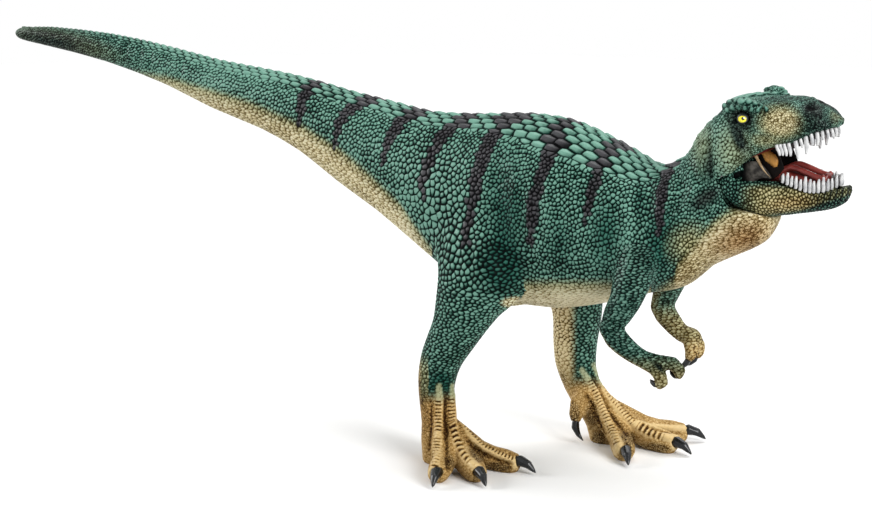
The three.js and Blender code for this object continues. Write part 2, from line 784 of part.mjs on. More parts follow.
function skull() {
  const aheadOfSeam = blockAhead(shifted(headSeamPoint, headSeamNormal, seamGap / 2), headSeamNormal);
  const form = joined([skullForm(), crest(right), crest(left)]).intersect(aheadOfSeam);
  const eyeHoles = [right, left].map((side) => ball(eyePlace(side), eyeRadius + seamGap));
  return cut(form, [
    mouthHollow(), hingeEye(right, seamGap), hingeEye(left, seamGap), jawPin(seamGap / 2),
    gumBand(upperLip, seamGap), headPeg(seamGap), ...eyeHoles, nostril(right), nostril(left),
  ]);
}

function palate() {
  const plate = mouthHollow(seamGap).subtract(mouthHollow(seamGap, palateThickness));
  const arch = plate.intersect(blockAhead(palateRear, xAxis));
  const cleared = cut(arch.intersect(blockAhead(palateRear, palateSlope)), [gumBand(upperLip, seamGap)]);
  return cleared.decompose().reduce((most, piece) => (piece.volume() > most.volume() ? piece : most));
}

function headPeg(grow = 0) {
  return peg(headPegPoint, headPegDirection, grow, headPegRadius, headPegLength);
}

function lowerJaw() {
  const eyes = [right, left].map((side) => hingeEye(side));
  const tray = cut(jawForm(), [trayHollow()]);
  return cut(joined([tray, ...eyes]), [jawPin(seamGap / 2), gumBand(lowerLip, seamGap)]);
}

// Tongue along the floor of the tray, with its tip turned up
const tongueShares = [
  [0.150, -0.600, 0.180, 0.400, 0.400],
  [0.300, -0.560, 0.200, 0.400, 0.440],
  [0.445, -0.500, 0.200, 0.400, 0.400],
  [0.585, -0.400, 0.190, 0.400, 0.340],
  [0.700, -0.240, 0.160, 0.280, 0.270],
  [0.775, -0.020, 0.090, 0.120, 0.170],
];

function tongue() {
  const form = loft(tongueShares.map((row) => headStation(...row, jawLength, jawDepth, jawWidth)),
    { steps: 1, sides: 12, powers: [2.6, 2.6] });
  return form.intersect(trayHollow(seamGap));
}

// Neck: follows the trunk's skin to the head, and fills the throat between the hinge eyes
function throatPlug() {
  const reach = hingeEyeInner - seamGap;
  const from = new THREE.Vector3(hinge.x, -reach, hinge.z);
  const to = new THREE.Vector3(hinge.x, reach, hinge.z);
  return rodBetween(from, to, throatRadius, 16).intersect(mouthHollow(seamGap));
}

function neck() {
  const ahead = blockAhead(shifted(neckSeamPoint, neckSeamNormal, seamGap / 2), neckSeamNormal);
  const behindHinge = blockAhead(hinge, xAxis.clone().negate());
  const aheadOfHeadSeam = blockAhead(shifted(headSeamPoint, headSeamNormal, -seamGap / 2), headSeamNormal);
  const throat = mouthHollow(seamGap).intersect(behindHinge);
  const headSpace = skullForm(seamGap).intersect(aheadOfHeadSeam).subtract(throat);
  const underJaw = new THREE.Vector3(hinge.x, 0, hinge.z - jawDepth);
  const mouthSpace = blockAhead(hinge, xAxis).intersect(blockAhead(underJaw, zAxis));
  const collar = cut(trunk.intersect(ahead), [headSpace, mouthSpace, ...jawSweep()]);
  const pegs = [peg(neckSeamPoint, neckSeamNormal), headPeg()];
  return cut(joined([collar, throatPlug(), ...pegs]), [jawPin(seamGap / 2)]);
}

function torso() {
  const aheadOfTail = blockAhead(shifted(tailSeamPoint, tailSeamNormal, seamGap / 2), tailSeamNormal);
  const behindNeck = blockAhead(
    shifted(neckSeamPoint, neckSeamNormal, -seamGap / 2), neckSeamNormal.clone().negate());
  return cut(trunk.intersect(aheadOfTail).intersect(behindNeck), [
    legSocket(right), legSocket(left), armSocket(right), armSocket(left),
    peg(tailSeamPoint, tailSeamNormal, seamGap), peg(neckSeamPoint, neckSeamNormal, seamGap),
  ]);
}

function tail() {
  const behind = blockAhead(
    shifted(tailSeamPoint, tailSeamNormal, -seamGap / 2), tailSeamNormal.clone().negate());
  return trunk.intersect(behind).add(peg(tailSeamPoint, tailSeamNormal));
}

// Materials
const skinGreen = { color: 0x3c6e5a, roughness: 0.55 };
const ochre = { color: 0xbe9b5f, roughness: 0.6 };
const black = { color: 0x2d2f32, roughness: 0.25 };
const ivory = { color: 0xf1efe6, roughness: 0.35 };
const mouthRed = { color: 0x964641, roughness: 0.4 };
const yellow = { color: 0xebe63c, roughness: 0.15 };
const steel = { color: 0x9a9a98, roughness: 0.35, metalness: 0.9 };

const figure = new THREE.Group();

function place(name, solid, look) {
  const mesh = new THREE.Mesh(geometryOf(solid), new THREE.MeshStandardMaterial(look));
  mesh.name = name;
  figure.add(mesh);
}

place('torso', torso(), skinGreen);
place('tail', tail(), skinGreen);
place('neck', neck(), skinGreen);
place('skull', skull(), skinGreen);
place('palate', palate(), mouthRed);
place('upper_teeth', toothRow(upperLip, upperToothShares, upperToothLength, -1), ivory);
place('lower_jaw', lowerJaw(), ochre);
place('lower_teeth', toothRow(lowerLip, lowerToothShares, lowerToothLength, 1), ivory);
place('tongue', tongue(), mouthRed);
place('jaw_pin', jawPin(), steel);
[[right, 'right'], [left, 'left']].forEach(([side, word]) => {
  place(`${word}_leg`, leg(side), skinGreen);
  place(`${word}_arm`, arm(side), skinGreen);
  place(`${word}_eye`, ball(eyePlace(side), eyeRadius), yellow);
  toeSplays[side].forEach((splay, i) => place(`${word}_foot_claw_${i + 1}`, footClaw(side, splay), black));
  place(`${word}_dew_claw`, dewLoft(side, dewClawShares, 8), black);
  [0, 1].forEach((f) => place(`${word}_hand_claw_${f + 1}`, handClaw(side, f), black));
});

// The figure stands on the floor with the middle of its outline over the origin
const outline = new THREE.Box3().setFromObject(figure);
const middle = outline.getCenter(new THREE.Vector3());
figure.position.set(-middle.x, -middle.y, -outline.min.z);

export default figure;
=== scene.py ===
import math
from types import SimpleNamespace

import bmesh
import bpy
import numpy as np
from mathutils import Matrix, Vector
from mathutils.kdtree import KDTree


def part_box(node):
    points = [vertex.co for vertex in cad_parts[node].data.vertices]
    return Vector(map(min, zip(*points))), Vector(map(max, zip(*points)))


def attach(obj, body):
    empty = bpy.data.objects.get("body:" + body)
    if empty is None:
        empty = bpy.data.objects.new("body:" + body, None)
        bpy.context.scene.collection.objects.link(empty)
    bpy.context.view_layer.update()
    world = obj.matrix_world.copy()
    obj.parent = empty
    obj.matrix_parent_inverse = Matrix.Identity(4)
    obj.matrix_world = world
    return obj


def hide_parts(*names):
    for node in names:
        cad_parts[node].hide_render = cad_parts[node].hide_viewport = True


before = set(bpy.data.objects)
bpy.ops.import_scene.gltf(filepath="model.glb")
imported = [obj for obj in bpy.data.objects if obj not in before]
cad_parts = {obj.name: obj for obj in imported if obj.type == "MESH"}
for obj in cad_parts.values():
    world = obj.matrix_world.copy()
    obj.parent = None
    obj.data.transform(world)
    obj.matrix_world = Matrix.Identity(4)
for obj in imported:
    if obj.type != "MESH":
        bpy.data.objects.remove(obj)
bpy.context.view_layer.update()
mm = 0.001
random = np.random.default_rng(7)

# The jaw pin gives the hinge, and the hinge gives the rump line that places are measured from
pinLow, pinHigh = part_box("jaw_pin")
hinge = np.array((81.5, 0.0, 77.6))
rump = np.array((pinLow + pinHigh) / 2) / mm - hinge


def place(point):
    return Vector((np.array(point, float) + rump) * mm)


def smooth(value, low, high):
    t = np.clip((value - low) / (high - low), 0.0, 1.0)
    return t * t * (3.0 - 2.0 * t)


# Camera of the photograph: the figure is seen from its right and ahead, a little from above
camera = {
    "azimuth": math.radians(30.0),
    "elevation": math.radians(14.0),
    "distance": 800.0,
    "pixelsPerMm": 4.12,
    "target": (6.0, -9.0, 48.5),
    "frameWidth": 872.0,
    "frameHeight": 512.0,
}
sinA, cosA = math.sin(camera["azimuth"]), math.cos(camera["azimuth"])
sinE, cosE = math.sin(camera["elevation"]), math.cos(camera["elevation"])
backward = np.array((sinA * cosE, -cosA * cosE, sinE))
rightward = np.array((cosA, sinA, 0.0))
upward = np.cross(backward, rightward)


# Where points of the figure lie in the photograph: as they are, or all brought to its near or far side
def inPhoto(points, side="near"):
    p = np.array(points, float)
    if side == "near":
        p[:, 1] = -np.abs(p[:, 1])
    if side == "far":
        p[:, 1] = np.abs(p[:, 1])
    p = p - camera["target"]
    scale = camera["pixelsPerMm"] * camera["distance"] / (camera["distance"] - p @ backward)
    across = camera["frameWidth"] / 2 + scale * (p @ rightward)
    down = camera["frameHeight"] / 2 - scale * (p @ upward)
    return np.stack([across, down], 1)


def makeCamera():
    data = bpy.data.cameras.new("photoCamera")
    data.sensor_width = 36.0
    data.lens = 36.0 * camera["distance"] * camera["pixelsPerMm"] / camera["frameWidth"]
    data.clip_start = 0.01
    data.clip_end = 10.0
    made = bpy.data.objects.new("photoCamera", data)
    made.location = place(np.array(camera["target"]) + backward * camera["distance"])
    made.rotation_mode = "QUATERNION"
    made.rotation_quaternion = Vector(-backward).to_track_quat("-Z", "Y")
    bpy.context.collection.objects.link(made)
    bpy.context.scene.camera = made


# Node wires: arithmetic on numbers, and one method for every other node
class Wire:
    def __init__(self, tree, socket=None):
        self.tree = tree
        self.socket = socket

    def make(self, kind, inputs=None, output=0, **settings):
        node = self.tree.nodes.new(kind)
        for name, value in settings.items():
            setattr(node, name, value)
        for key, value in (inputs or {}).items():
            if isinstance(value, Wire):
                self.tree.links.new(value.socket, node.inputs[key])
            else:
                node.inputs[key].default_value = value
        return Wire(self.tree, node.outputs[output] if node.outputs else None)

    def math(self, operation, other):
        return self.make("ShaderNodeMath", {0: self, 1: other}, operation=operation)

    def __add__(self, other):
        return self.math("ADD", other)

    def __sub__(self, other):
        return self.math("SUBTRACT", other)

    def __rsub__(self, other):
        return self.make("ShaderNodeMath", {0: other, 1: self}, operation="SUBTRACT")

    def __mul__(self, other):
        return self.math("MULTIPLY", other)

    __radd__ = __add__
    __rmul__ = __mul__

    def clamped(self):
        return self.make("ShaderNodeClamp", {0: self})

    def attribute(self, name):
        return self.make("ShaderNodeAttribute", output=2, attribute_name=name)

    def ramp(self, low, high):
        return self.make("ShaderNodeMapRange", {0: self, 1: low, 2: high}, interpolation_type="SMOOTHSTEP")

    def blend(self, low, high):
        return self.make("ShaderNodeMix", {0: self, 6: low, 7: high}, output=2, data_type="RGBA")


# A paint colour given as on screen, from 0 to 255
def paint(r, g, b):
    levels = [c / 255.0 for c in (r, g, b)]
    return tuple(c / 12.92 if c <= 0.04045 else ((c + 0.055) / 1.055) ** 2.4 for c in levels) + (1.0,)


def newMaterial(name):
    made = bpy.data.materials.new(name)
    made.use_nodes = True
    tree = made.node_tree
    tree.nodes.clear()
    return made, Wire(tree)


def finishMaterial(wire, inputs):
    shader = wire.make("ShaderNodeBsdfPrincipled", inputs)
    wire.make("ShaderNodeOutputMaterial", {"Surface": shader})


# Paint of the skin: three tones for each colour, dark in the grooves and light on the scale tops. The groove
# tone is painted shade together with a dark wash, and the top tone is a painted highlight together with light
# drybrushing
skinPaints = {
    "green": ((0, 5, 4), (16, 54, 44), (110, 155, 138)),
    # Darker green: partly the skin's own paint and partly painted shade
    "deepGreenAndShade": ((0, 5, 4), (2, 38, 31), (44, 98, 84)),
    "olive": ((38, 36, 14), (112, 108, 66), (192, 184, 138)),
    "cream": ((84, 66, 30), (186, 170, 122), (234, 226, 192)),
    "ochre": ((50, 28, 8), (162, 126, 70), (212, 184, 130)),
    "tan": ((70, 44, 18), (146, 112, 68), (198, 166, 118)),
    "dark": ((0, 2, 2), (6, 16, 14), (54, 72, 64)),
    "stripe": ((2, 2, 3), (18, 18, 20), (64, 63, 66)),
}


def toned(relief, name):
    groove, base, top = [paint(*tone) for tone in skinPaints[name]]
    # Grooves take the painted shade tone and scale tops the painted highlight tone
    low = relief.ramp(0.15, 0.6).blend(groove, base)
    return relief.ramp(0.42, 0.98).blend(low, top)


def skinMaterial():
    made, wire = newMaterial("paintedSkin")
    spot = wire.make("ShaderNodeTexCoord", output=3)
    beads = wire.make("ShaderNodeTexVoronoi", {"Vector": spot, "Scale": 1850.0}, feature="DISTANCE_TO_EDGE")
    grain = wire.make("ShaderNodeTexNoise", {"Vector": spot, "Scale": 900.0, "Detail": 3.0})
    cloud = wire.make("ShaderNodeTexNoise", {"Vector": spot, "Scale": 90.0, "Detail": 2.0})
    bead = wire.attribute("bead")
    beadTop = beads.ramp(0.01, 0.2)
    relief = wire.attribute("relief")
    # Fine beads: the colour darkens at their edges, painted shade in the grooves between them
    relief = relief * (beadTop * bead + (1.0 - bead))
    relief = relief + (grain - 0.5) * 0.35 + (wire.attribute("cell") - 0.5) * 0.28 + (cloud - 0.5) * 0.3
    # Painted highlights and painted shade, with light drybrushing, move each spot's tone up or down
    relief = relief + wire.attribute("dryBrushAndLight")
    colour = toned(relief, "green")
    for name in ("deepGreenAndShade", "olive", "cream", "ochre", "tan", "dark", "stripe"):
        amount = (wire.attribute(name) + (grain - 0.5) * 0.25 * wire.attribute(name)).clamped()
        colour = amount.blend(colour, toned(relief, name))
    rough = grain * 0.16 + 0.42
    gloss = relief.ramp(0.45, 1.0) * 0.3
    height = beadTop * bead * 1.2 + grain * 0.4
    normal = wire.make("ShaderNodeBump", {"Strength": 0.5, "Distance": 0.00012, "Height": height})
    inputs = {"Base Color": colour, "Roughness": rough, "Normal": normal, "Specular IOR Level": 0.04}
    inputs.update({"Coat Weight": gloss, "Coat Roughness": 0.28})
    finishMaterial(wire, inputs)
    return made


# Arrays of a mesh: corners in figure millimetres, and faces of four corners
def meshArrays(obj):
    graph = bpy.context.evaluated_depsgraph_get()
    mesh = obj.evaluated_get(graph).to_mesh()
    points = np.empty(len(mesh.vertices) * 3)
    mesh.vertices.foreach_get("co", points)
    corners = np.empty(len(mesh.loops), np.int32)
    mesh.loops.foreach_get("vertex_index", corners)
    count = np.empty(len(mesh.polygons), np.int32)
    mesh.polygons.foreach_get("loop_total", count)
    start = np.empty(len(mesh.polygons), np.int32)
    mesh.polygons.foreach_get("loop_start", start)
    last = np.where(count == 4, start + 3, start + 2)
    faces = np.stack([corners[start], corners[start + 1], corners[start + 2], corners[last]], 1)
    obj.evaluated_get(graph).to_mesh_clear()
    return points.reshape(-1, 3) / mm - rump, faces


# One closed surface round several CAD nodes, which overlap once each is grown a little
def wrapped(nodes, cell, growth):
    merged = bmesh.new()
    for name in nodes:
        shape = bmesh.new()
        shape.from_mesh(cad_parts[name].data)
        bmesh.ops.remove_doubles(shape, verts=shape.verts, dist=1e-6)
        bmesh.ops.recalc_face_normals(shape, faces=shape.faces)
        moves = [growth * mm * vert.normal * vert.calc_shell_factor() for vert in shape.verts]
        for vert, move in zip(shape.verts, moves):
            vert.co += move if move.length < 3 * growth * mm else move.normalized() * 3 * growth * mm
        piece = bpy.data.meshes.new("grown")
        shape.to_mesh(piece)
        merged.from_mesh(piece)
        shape.free()
        bpy.data.meshes.remove(piece)
    mesh = bpy.data.meshes.new("wrapped")
    merged.to_mesh(mesh)
    merged.free()
    obj = bpy.data.objects.new("wrapped", mesh)
    bpy.context.collection.objects.link(obj)
    remesh = obj.modifiers.new("remesh", "REMESH")
    remesh.mode = "VOXEL"
    remesh.voxel_size = cell * mm
    points, faces = meshArrays(obj)
    bpy.data.objects.remove(obj)
    bpy.data.meshes.remove(mesh)
    return largest(points, faces)


# The largest connected part of a surface; hollows inside fall away
def largest(points, faces):
    label = np.arange(len(points))
    order = np.argsort(faces.ravel(), kind="stable")
    starts = np.searchsorted(faces.ravel()[order], label)
    while True:
        low = np.repeat(label[faces].min(1), 4)[order]
        following = np.minimum.reduceat(low, starts)
        following = following[following]
        if (following == label).all():
            break
        label = following
    names, counts = np.unique(label, return_counts=True)
    kept = label == names[counts.argmax()]
    order = np.cumsum(kept) - 1
    return points[kept], order[faces[kept[faces[:, 0]]]]


def edgesOf(faces):
    pairs = np.concatenate([faces[:, [0, 1]], faces[:, [1, 2]], faces[:, [2, 3]], faces[:, [3, 0]]])
    pairs = np.sort(pairs[pairs[:, 0] != pairs[:, 1]], 1).astype(np.int64)
    size = pairs.max() + 1
    keys = np.unique(pairs[:, 0] * size + pairs[:, 1])
    return np.stack([keys // size, keys % size], 1)


def spread(values, edges, count):
    a, b = edges[:, 0], edges[:, 1]
    total = np.bincount(a, values[b], count) + np.bincount(b, values[a], count)
    return total


# Rounds that soften a surface; strength is from 0 to 1 at each corner
def softened(points, edges, strength, rounds):
    count = len(points)
    share = strength / np.maximum(np.bincount(edges.ravel(), minlength=count), 1)
    points = points.copy()
    for turn in range(rounds):
        for axis in range(3):
            column = points[:, axis]
            column += spread(column, edges, count) * share - column * strength
    return points


def blurred(values, edges, rounds):
    count = len(values)
    share = 1.0 / np.maximum(np.bincount(edges.ravel(), minlength=count), 1)
    for turn in range(rounds):
        values = values * 0.4 + spread(values, edges, count) * share * 0.6
    return values


def normalsOf(points, faces):
    across = points[faces[:, 2]] - points[faces[:, 0]]
    along = points[faces[:, 3]] - points[faces[:, 1]]
    flat = np.cross(across, along)
    normals = np.zeros_like(points)
    for axis in range(3):
        for corner in range(4):
            normals[:, axis] += np.bincount(faces[:, corner], flat[:, axis], len(points))
    return normals / np.maximum(np.linalg.norm(normals, axis=1), 1e-12)[:, None]


# Nearness to a line drawn in the photograph: 1 on the line, 0 past its half width; and the way along it
def nearLine(px, line, widths):
    line = np.array(line, float)
    steps = np.linalg.norm(np.diff(line, axis=0), axis=1)
    starts = np.concatenate([[0.0], np.cumsum(steps)])
    best = np.full(len(px), 1e9)
    along = np.zeros(len(px))
    for start, end, length, run in zip(line[:-1], line[1:], steps, starts):
        t = np.clip((px - start) @ (end - start) / length ** 2, 0.0, 1.0)
        away = np.linalg.norm(px - start - t[:, None] * (end - start), axis=1)
        closer = away < best
        best[closer] = away[closer]
        along[closer] = (run + t * length)[closer]
    share = along / starts[-1]
    half = np.interp(share, np.linspace(0.0, 1.0, len(widths)), widths) / 2
    return 1.0 - best / half, along, share


# A soft patch round a place in the photograph, turned by some degrees
def patch(px, centre, radii, turn=0.0):
    c, s = math.cos(math.radians(turn)), math.sin(math.radians(turn))
    d = px - np.array(centre, float)
    x = (d[:, 0] * c + d[:, 1] * s) / radii[0]
    y = (-d[:, 0] * s + d[:, 1] * c) / radii[1]
    return smooth(1.0 - np.sqrt(x * x + y * y), 0.0, 1.0)


skinNodes = ["torso", "tail", "neck", "skull", "right_leg", "left_leg", "right_arm", "left_arm"]
skin = {
    "cell": 0.26,
    "growth": 0.2,
    "trunkRounds": 60,
    "labelSpacing": 0.9,
    "flankPitch": 0.96,
    "thighPitch": 1.65,
    "headPitch": 0.8,
    "jowlPitch": 0.86,
    "neckPitch": 0.8,
    "legPitch": 0.8,
    "armPitch": 0.66,
    "footPitch": 0.9,
    "bellyPitch": 0.72,
    "relief": 0.27,
    "stretch": 1.15,
    "limbStretch": 1.5,
    "armStretch": 2.1,
    "torsoCut": 22.0,
    # Heights over the floor: under them lie the feet's folds, limb scales and leg paint; above them the
    # trunk's folds and the head's crest
    "footFolds": 34.0,
    "limbScales": 45.0,
    "legPaint": 42.0,
    "bodyFolds": 30.0,
    "crest": 91.0,
}
# The least height of a sole over the floor, in mm
soleGap = 0.02
# Places in the photograph, in its pixels. Each stripe is a line with its widths along it
photo = {
    "stripes": [
        ([(315, 79), (303, 100), (298, 124)], (14, 12, 6)),
        ([(371, 97), (350, 108), (340, 122), (334, 145)], (13, 11, 6)),
        ([(418, 109), (400, 122), (389, 138), (383, 162)], (14, 11, 6)),
        ([(469, 113), (442, 135), (431, 155), (423, 180), (424, 198)], (14, 11, 6)),
        ([(520, 113), (500, 122), (488, 142), (478, 170), (472, 200), (465, 243)], (16, 14, 9)),
        ([(565, 122), (552, 145), (544, 170), (533, 200), (530, 243)], (18, 14, 9)),
        ([(622, 145), (607, 155), (598, 172), (590, 200), (583, 223)], (16, 12, 6)),
        ([(673, 163), (662, 185), (659, 231)], (11, 10, 9)),
    ],
    # The pale underside's upper edge: columns it runs over, softness above and below, and its line
    "undersides": [
        ((-99, 432), (-12.0, 16.0), [
            (20, 62), (165, 80), (210, 93), (250, 105), (300, 127),
            (340, 153), (370, 178), (400, 208), (430, 250),
        ]),
        ((424, 651), (-18.0, 11.0), [(424, 300), (500, 300), (515, 291), (605, 291), (651, 295)]),
        ((651, 999), (-10.0, 24.0), [
            (651, 295), (674, 278), (677, 262), (692, 242), (712, 222), (740, 201), (760, 194),
        ]),
    ],
}


# How pale the underside is at each corner
def creamField(at):
    u, v = at.px.T
    cream = np.zeros(len(u))
    for (first, last), softness, line in photo["undersides"]:
        columns, heights = np.array(line, float).T
        pale = smooth(v - np.interp(u, columns, heights), *softness) * (u >= first) * (u < last)
        cream = np.maximum(cream, pale)
    cream[at.legs | at.arms | at.head] = 0.0
    return cream


# Which CAD node each corner lies nearest to
def nearestNode(points):
    samples = []
    owners = []
    for index, name in enumerate(skinNodes):
        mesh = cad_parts[name].data
        mesh.calc_loop_triangles()
        corners = np.array([vert.co for vert in mesh.vertices]) / mm - rump
        triangles = np.array([tri.vertices for tri in mesh.loop_triangles])
        a, b, c = (corners[triangles[:, side]] for side in range(3))
        areas = np.linalg.norm(np.cross(b - a, c - a), axis=1) / 2
        counts = np.ceil(areas / skin["labelSpacing"] ** 2).astype(int)
        chosen = np.repeat(np.arange(len(triangles)), counts)
        r, t = random.random((2, len(chosen)))
        flip = r + t > 1
        r[flip], t[flip] = 1 - r[flip], 1 - t[flip]
        spots = a[chosen] + (b - a)[chosen] * r[:, None] + (c - a)[chosen] * t[:, None]
        samples.append(spots)
        owners.append(np.full(len(spots), index))
    samples = np.concatenate(samples)
    owners = np.concatenate(owners)
    tree = KDTree(len(samples))
    for index, spot in enumerate(samples):
        tree.insert(spot, index)
    tree.balance()
    return np.array([owners[tree.find(point)[1]] for point in points])


# Seeds of scales, no nearer to each other than the pitch wanted there
def scatter(points, pitches, ways, ratios):
    cellSize = float(pitches.max()) * 1.3
    taken = {}
    seeds = []
    keys = np.floor(points / cellSize).astype(int).tolist()
    places = points.tolist()
    for index in random.permutation(len(points)):
        x, y, z = keys[index]
        px, py, pz = places[index]
        least = pitches[index] * 0.8
        tx, ty, tz = ways[index]
        squash = 1.0 - 1.0 / ratios[index] ** 2
        free = True
        for near in ((x + i, y + j, z + k) for i in (-1, 0, 1) for j in (-1, 0, 1) for k in (-1, 0, 1)):
            for other in taken.get(near, ()):
                dx, dy, dz = places[other][0] - px, places[other][1] - py, places[other][2] - pz
                away = dx * dx + dy * dy + dz * dz - squash * (dx * tx + dy * ty + dz * tz) ** 2
                if away < least * least:
                    free = False
                    break
            if not free:
                break
        if free:
            taken.setdefault((x, y, z), []).append(index)
            seeds.append(index)
    return np.array(seeds)


# Shape of the trunk along its length: the height of the back and the half width under it
def trunkProfile(points, trunk):
    stations = np.arange(-126.0, 96.0, 2.0)
    top = np.empty(len(stations))
    wide = np.empty(len(stations))
    for index, along in enumerate(stations):
        near = trunk & (np.abs(points[:, 0] - along) < 1.5)
        top[index] = points[near, 2].max() if near.any() else top[index - 1]
        wide[index] = np.abs(points[near, 1]).max() if near.any() else wide[index - 1]
    return stations, top, wide


# Rows of leaf-shaped scutes along the back: (along, row length, row width, reach down the side)
scuteRows = {
    "stations": [
        (-122.0, 1.3, 0.9, 1.4),
        (-90.0, 1.9, 1.2, 2.6),
        (-60.0, 2.6, 1.5, 4.0),
        (-37.0, 3.2, 1.8, 5.6),
        (-4.0, 3.5, 2.0, 6.2),
        (19.0, 3.7, 2.1, 8.6),
        (36.0, 3.8, 2.2, 13.0),
        (47.0, 3.7, 2.1, 12.5),
        (61.0, 3.0, 1.8, 8.5),
        (71.0, 2.2, 1.4, 5.0),
        (77.0, 1.8, 1.2, 2.0),
    ],
    "height": 1.05,
    "stretch": 1.7,
}


# A column of that table at places along the back: 1 is row length, 2 is row width and 3 is reach
def scuteSize(along, column):
    stations = np.array(scuteRows["stations"])
    return np.interp(along, stations[:, 0], stations[:, column])


# Corners that scutes grow from, row by row
def scuteLattice(points, arc, candidates):
    tree = KDTree(int(candidates.sum()))
    chosen = np.flatnonzero(candidates)
    for index in chosen:
        tree.insert((points[index, 0], arc[index], 0.0), index)
    tree.balance()
    seeds = []
    along = scuteRows["stations"][0][0]
    while along < scuteRows["stations"][-1][0]:
        length, width, reach = (scuteSize(along, column) for column in (1, 2, 3))
        rows = int(reach / width)
        for row in range(-rows, rows + 1):
            start = along + (length / 2 if row % 2 else 0.0)
            across = row * scuteSize(start, 2)
            spot, index, gap = tree.find((start, across, 0.0))
            if gap < width * 0.6:
                seeds.append(index)
        along += length
    return np.unique(seeds)


def unit(vectors):
    return vectors / np.maximum(np.linalg.norm(vectors, axis=1), 1e-9)[:, None]


# Folds and muscles pressed into the trunk and the thigh: line in the photograph, widths, height in mm
trunkFolds = [
    ([(495, 150), (499, 190), (499, 240), (505, 285)], (34, 44, 30), -0.9),
    ([(530, 185), (529, 215), (535, 250)], (14, 18, 12), 0.45),
    ([(524, 190), (522, 215), (525, 245), (540, 268), (560, 282)], (10, 15, 10), -0.5),
    ([(541, 175), (538, 210), (542, 245)], (12, 15, 12), -0.3),
    ([(513, 180), (511, 215), (512, 248)], (10, 12, 8), 0.3),
    ([(479, 228), (478, 262), (477, 290)], (9, 12, 8), 0.3),
    ([(472, 226), (470, 262), (470, 290)], (9, 12, 8), -0.25),
    ([(473, 168), (452, 183), (435, 196)], (7, 9, 7), -0.22),
    ([(513, 173), (498, 183), (486, 195)], (7, 9, 7), -0.22),
    ([(503, 190), (490, 205), (483, 224)], (7, 9, 7), -0.25),
    ([(430, 205), (440, 235), (444, 262)], (10, 12, 9), -0.3),
    ([(452, 215), (456, 245), (459, 275)], (9, 11, 9), -0.25),
    ([(604, 175), (594, 215), (592, 250)], (16, 20, 14), -0.4),
    ([(570, 170), (562, 215), (566, 255)], (16, 20, 14), -0.25),
    ([(300, 125), (335, 146), (372, 170), (395, 198), (414, 230)], (5, 6, 6, 5), -0.22),
    ([(127, 41), (123, 67)], (5, 5), -0.3),
    ([(141, 44), (137, 72)], (6, 6), -0.3),
    ([(152, 47), (148, 76)], (5, 5), -0.28),
    ([(183, 58), (178, 86)], (6, 6), -0.25),
]
# Folds of the neck and forms of the head
neckFolds = [
    ([(698, 132), (702, 160), (707, 184)], (11, 14, 10), 0.5),
    ([(708, 138), (709, 160), (711, 184)], (9, 11, 9), -0.9),
    ([(684, 163), (695, 186), (688, 202), (671, 222)], (10, 13, 12, 9), 0.5),
    ([(677, 170), (683, 190), (679, 204), (668, 214)], (9, 12, 11, 8), -0.65),
    ([(668, 172), (659, 200), (663, 232)], (10, 13, 10), 0.35),
    ([(652, 180), (649, 212), (656, 238)], (12, 15, 12), -0.4),
    ([(716, 188), (702, 198), (686, 212)], (10, 12, 9), -0.4),
    ([(628, 180), (627, 230), (622, 280)], (18, 24, 18), 0.4),
]
headFolds = [
    ([(722, 106), (735, 103), (750, 105), (764, 109)], (8, 10, 9, 6), 0.45),
    ([(764, 108), (785, 104), (802, 100), (816, 99)], (6, 8, 8, 5), 0.25),
    ([(762, 159), (785, 150), (803, 141), (818, 132), (832, 124), (838, 118)], (4, 5, 5, 5, 4), 0.25),
    ([(735, 128), (747, 148), (752, 160)], (7, 8, 5), -0.4),
    ([(802, 103), (808, 101), (815, 103)], (4, 5, 4), 0.35),
    ([(826, 108), (835, 118), (838, 126)], (4, 5, 4), 0.2),
]
# Soft lumps and pits: centre, half widths and height in mm
headSwells = [
    ((743, 118.5), (14, 12), -0.55),
    ((811.5, 107), (6, 5), -0.9),
    ((724, 158), (15, 30), 0.55),
    ((770, 130), (20, 14), 0.2),
    ((847, 121), (11, 10), -0.85),
]
browKnobs = {
    "row": [
        (725, 107, 2.6), (730, 103.5, 3.2), (736, 101.5, 3.3), (742, 102, 3.2), (748.5, 102.5, 3.3),
        (754.5, 104.5, 3.3), (727.5, 111, 2.4), (733, 108.5, 2.8), (739, 107.5, 2.6), (745.5, 108, 2.7),
        (751.5, 110, 2.7), (761, 107.5, 3.0), (757.5, 111, 2.4), (766.5, 110.5, 2.6),
    ],
    "height": 0.7,
}
crestRibs = {"centre": (774, 95), "reach": (13, 14), "spacing": 3.6, "height": 0.3}
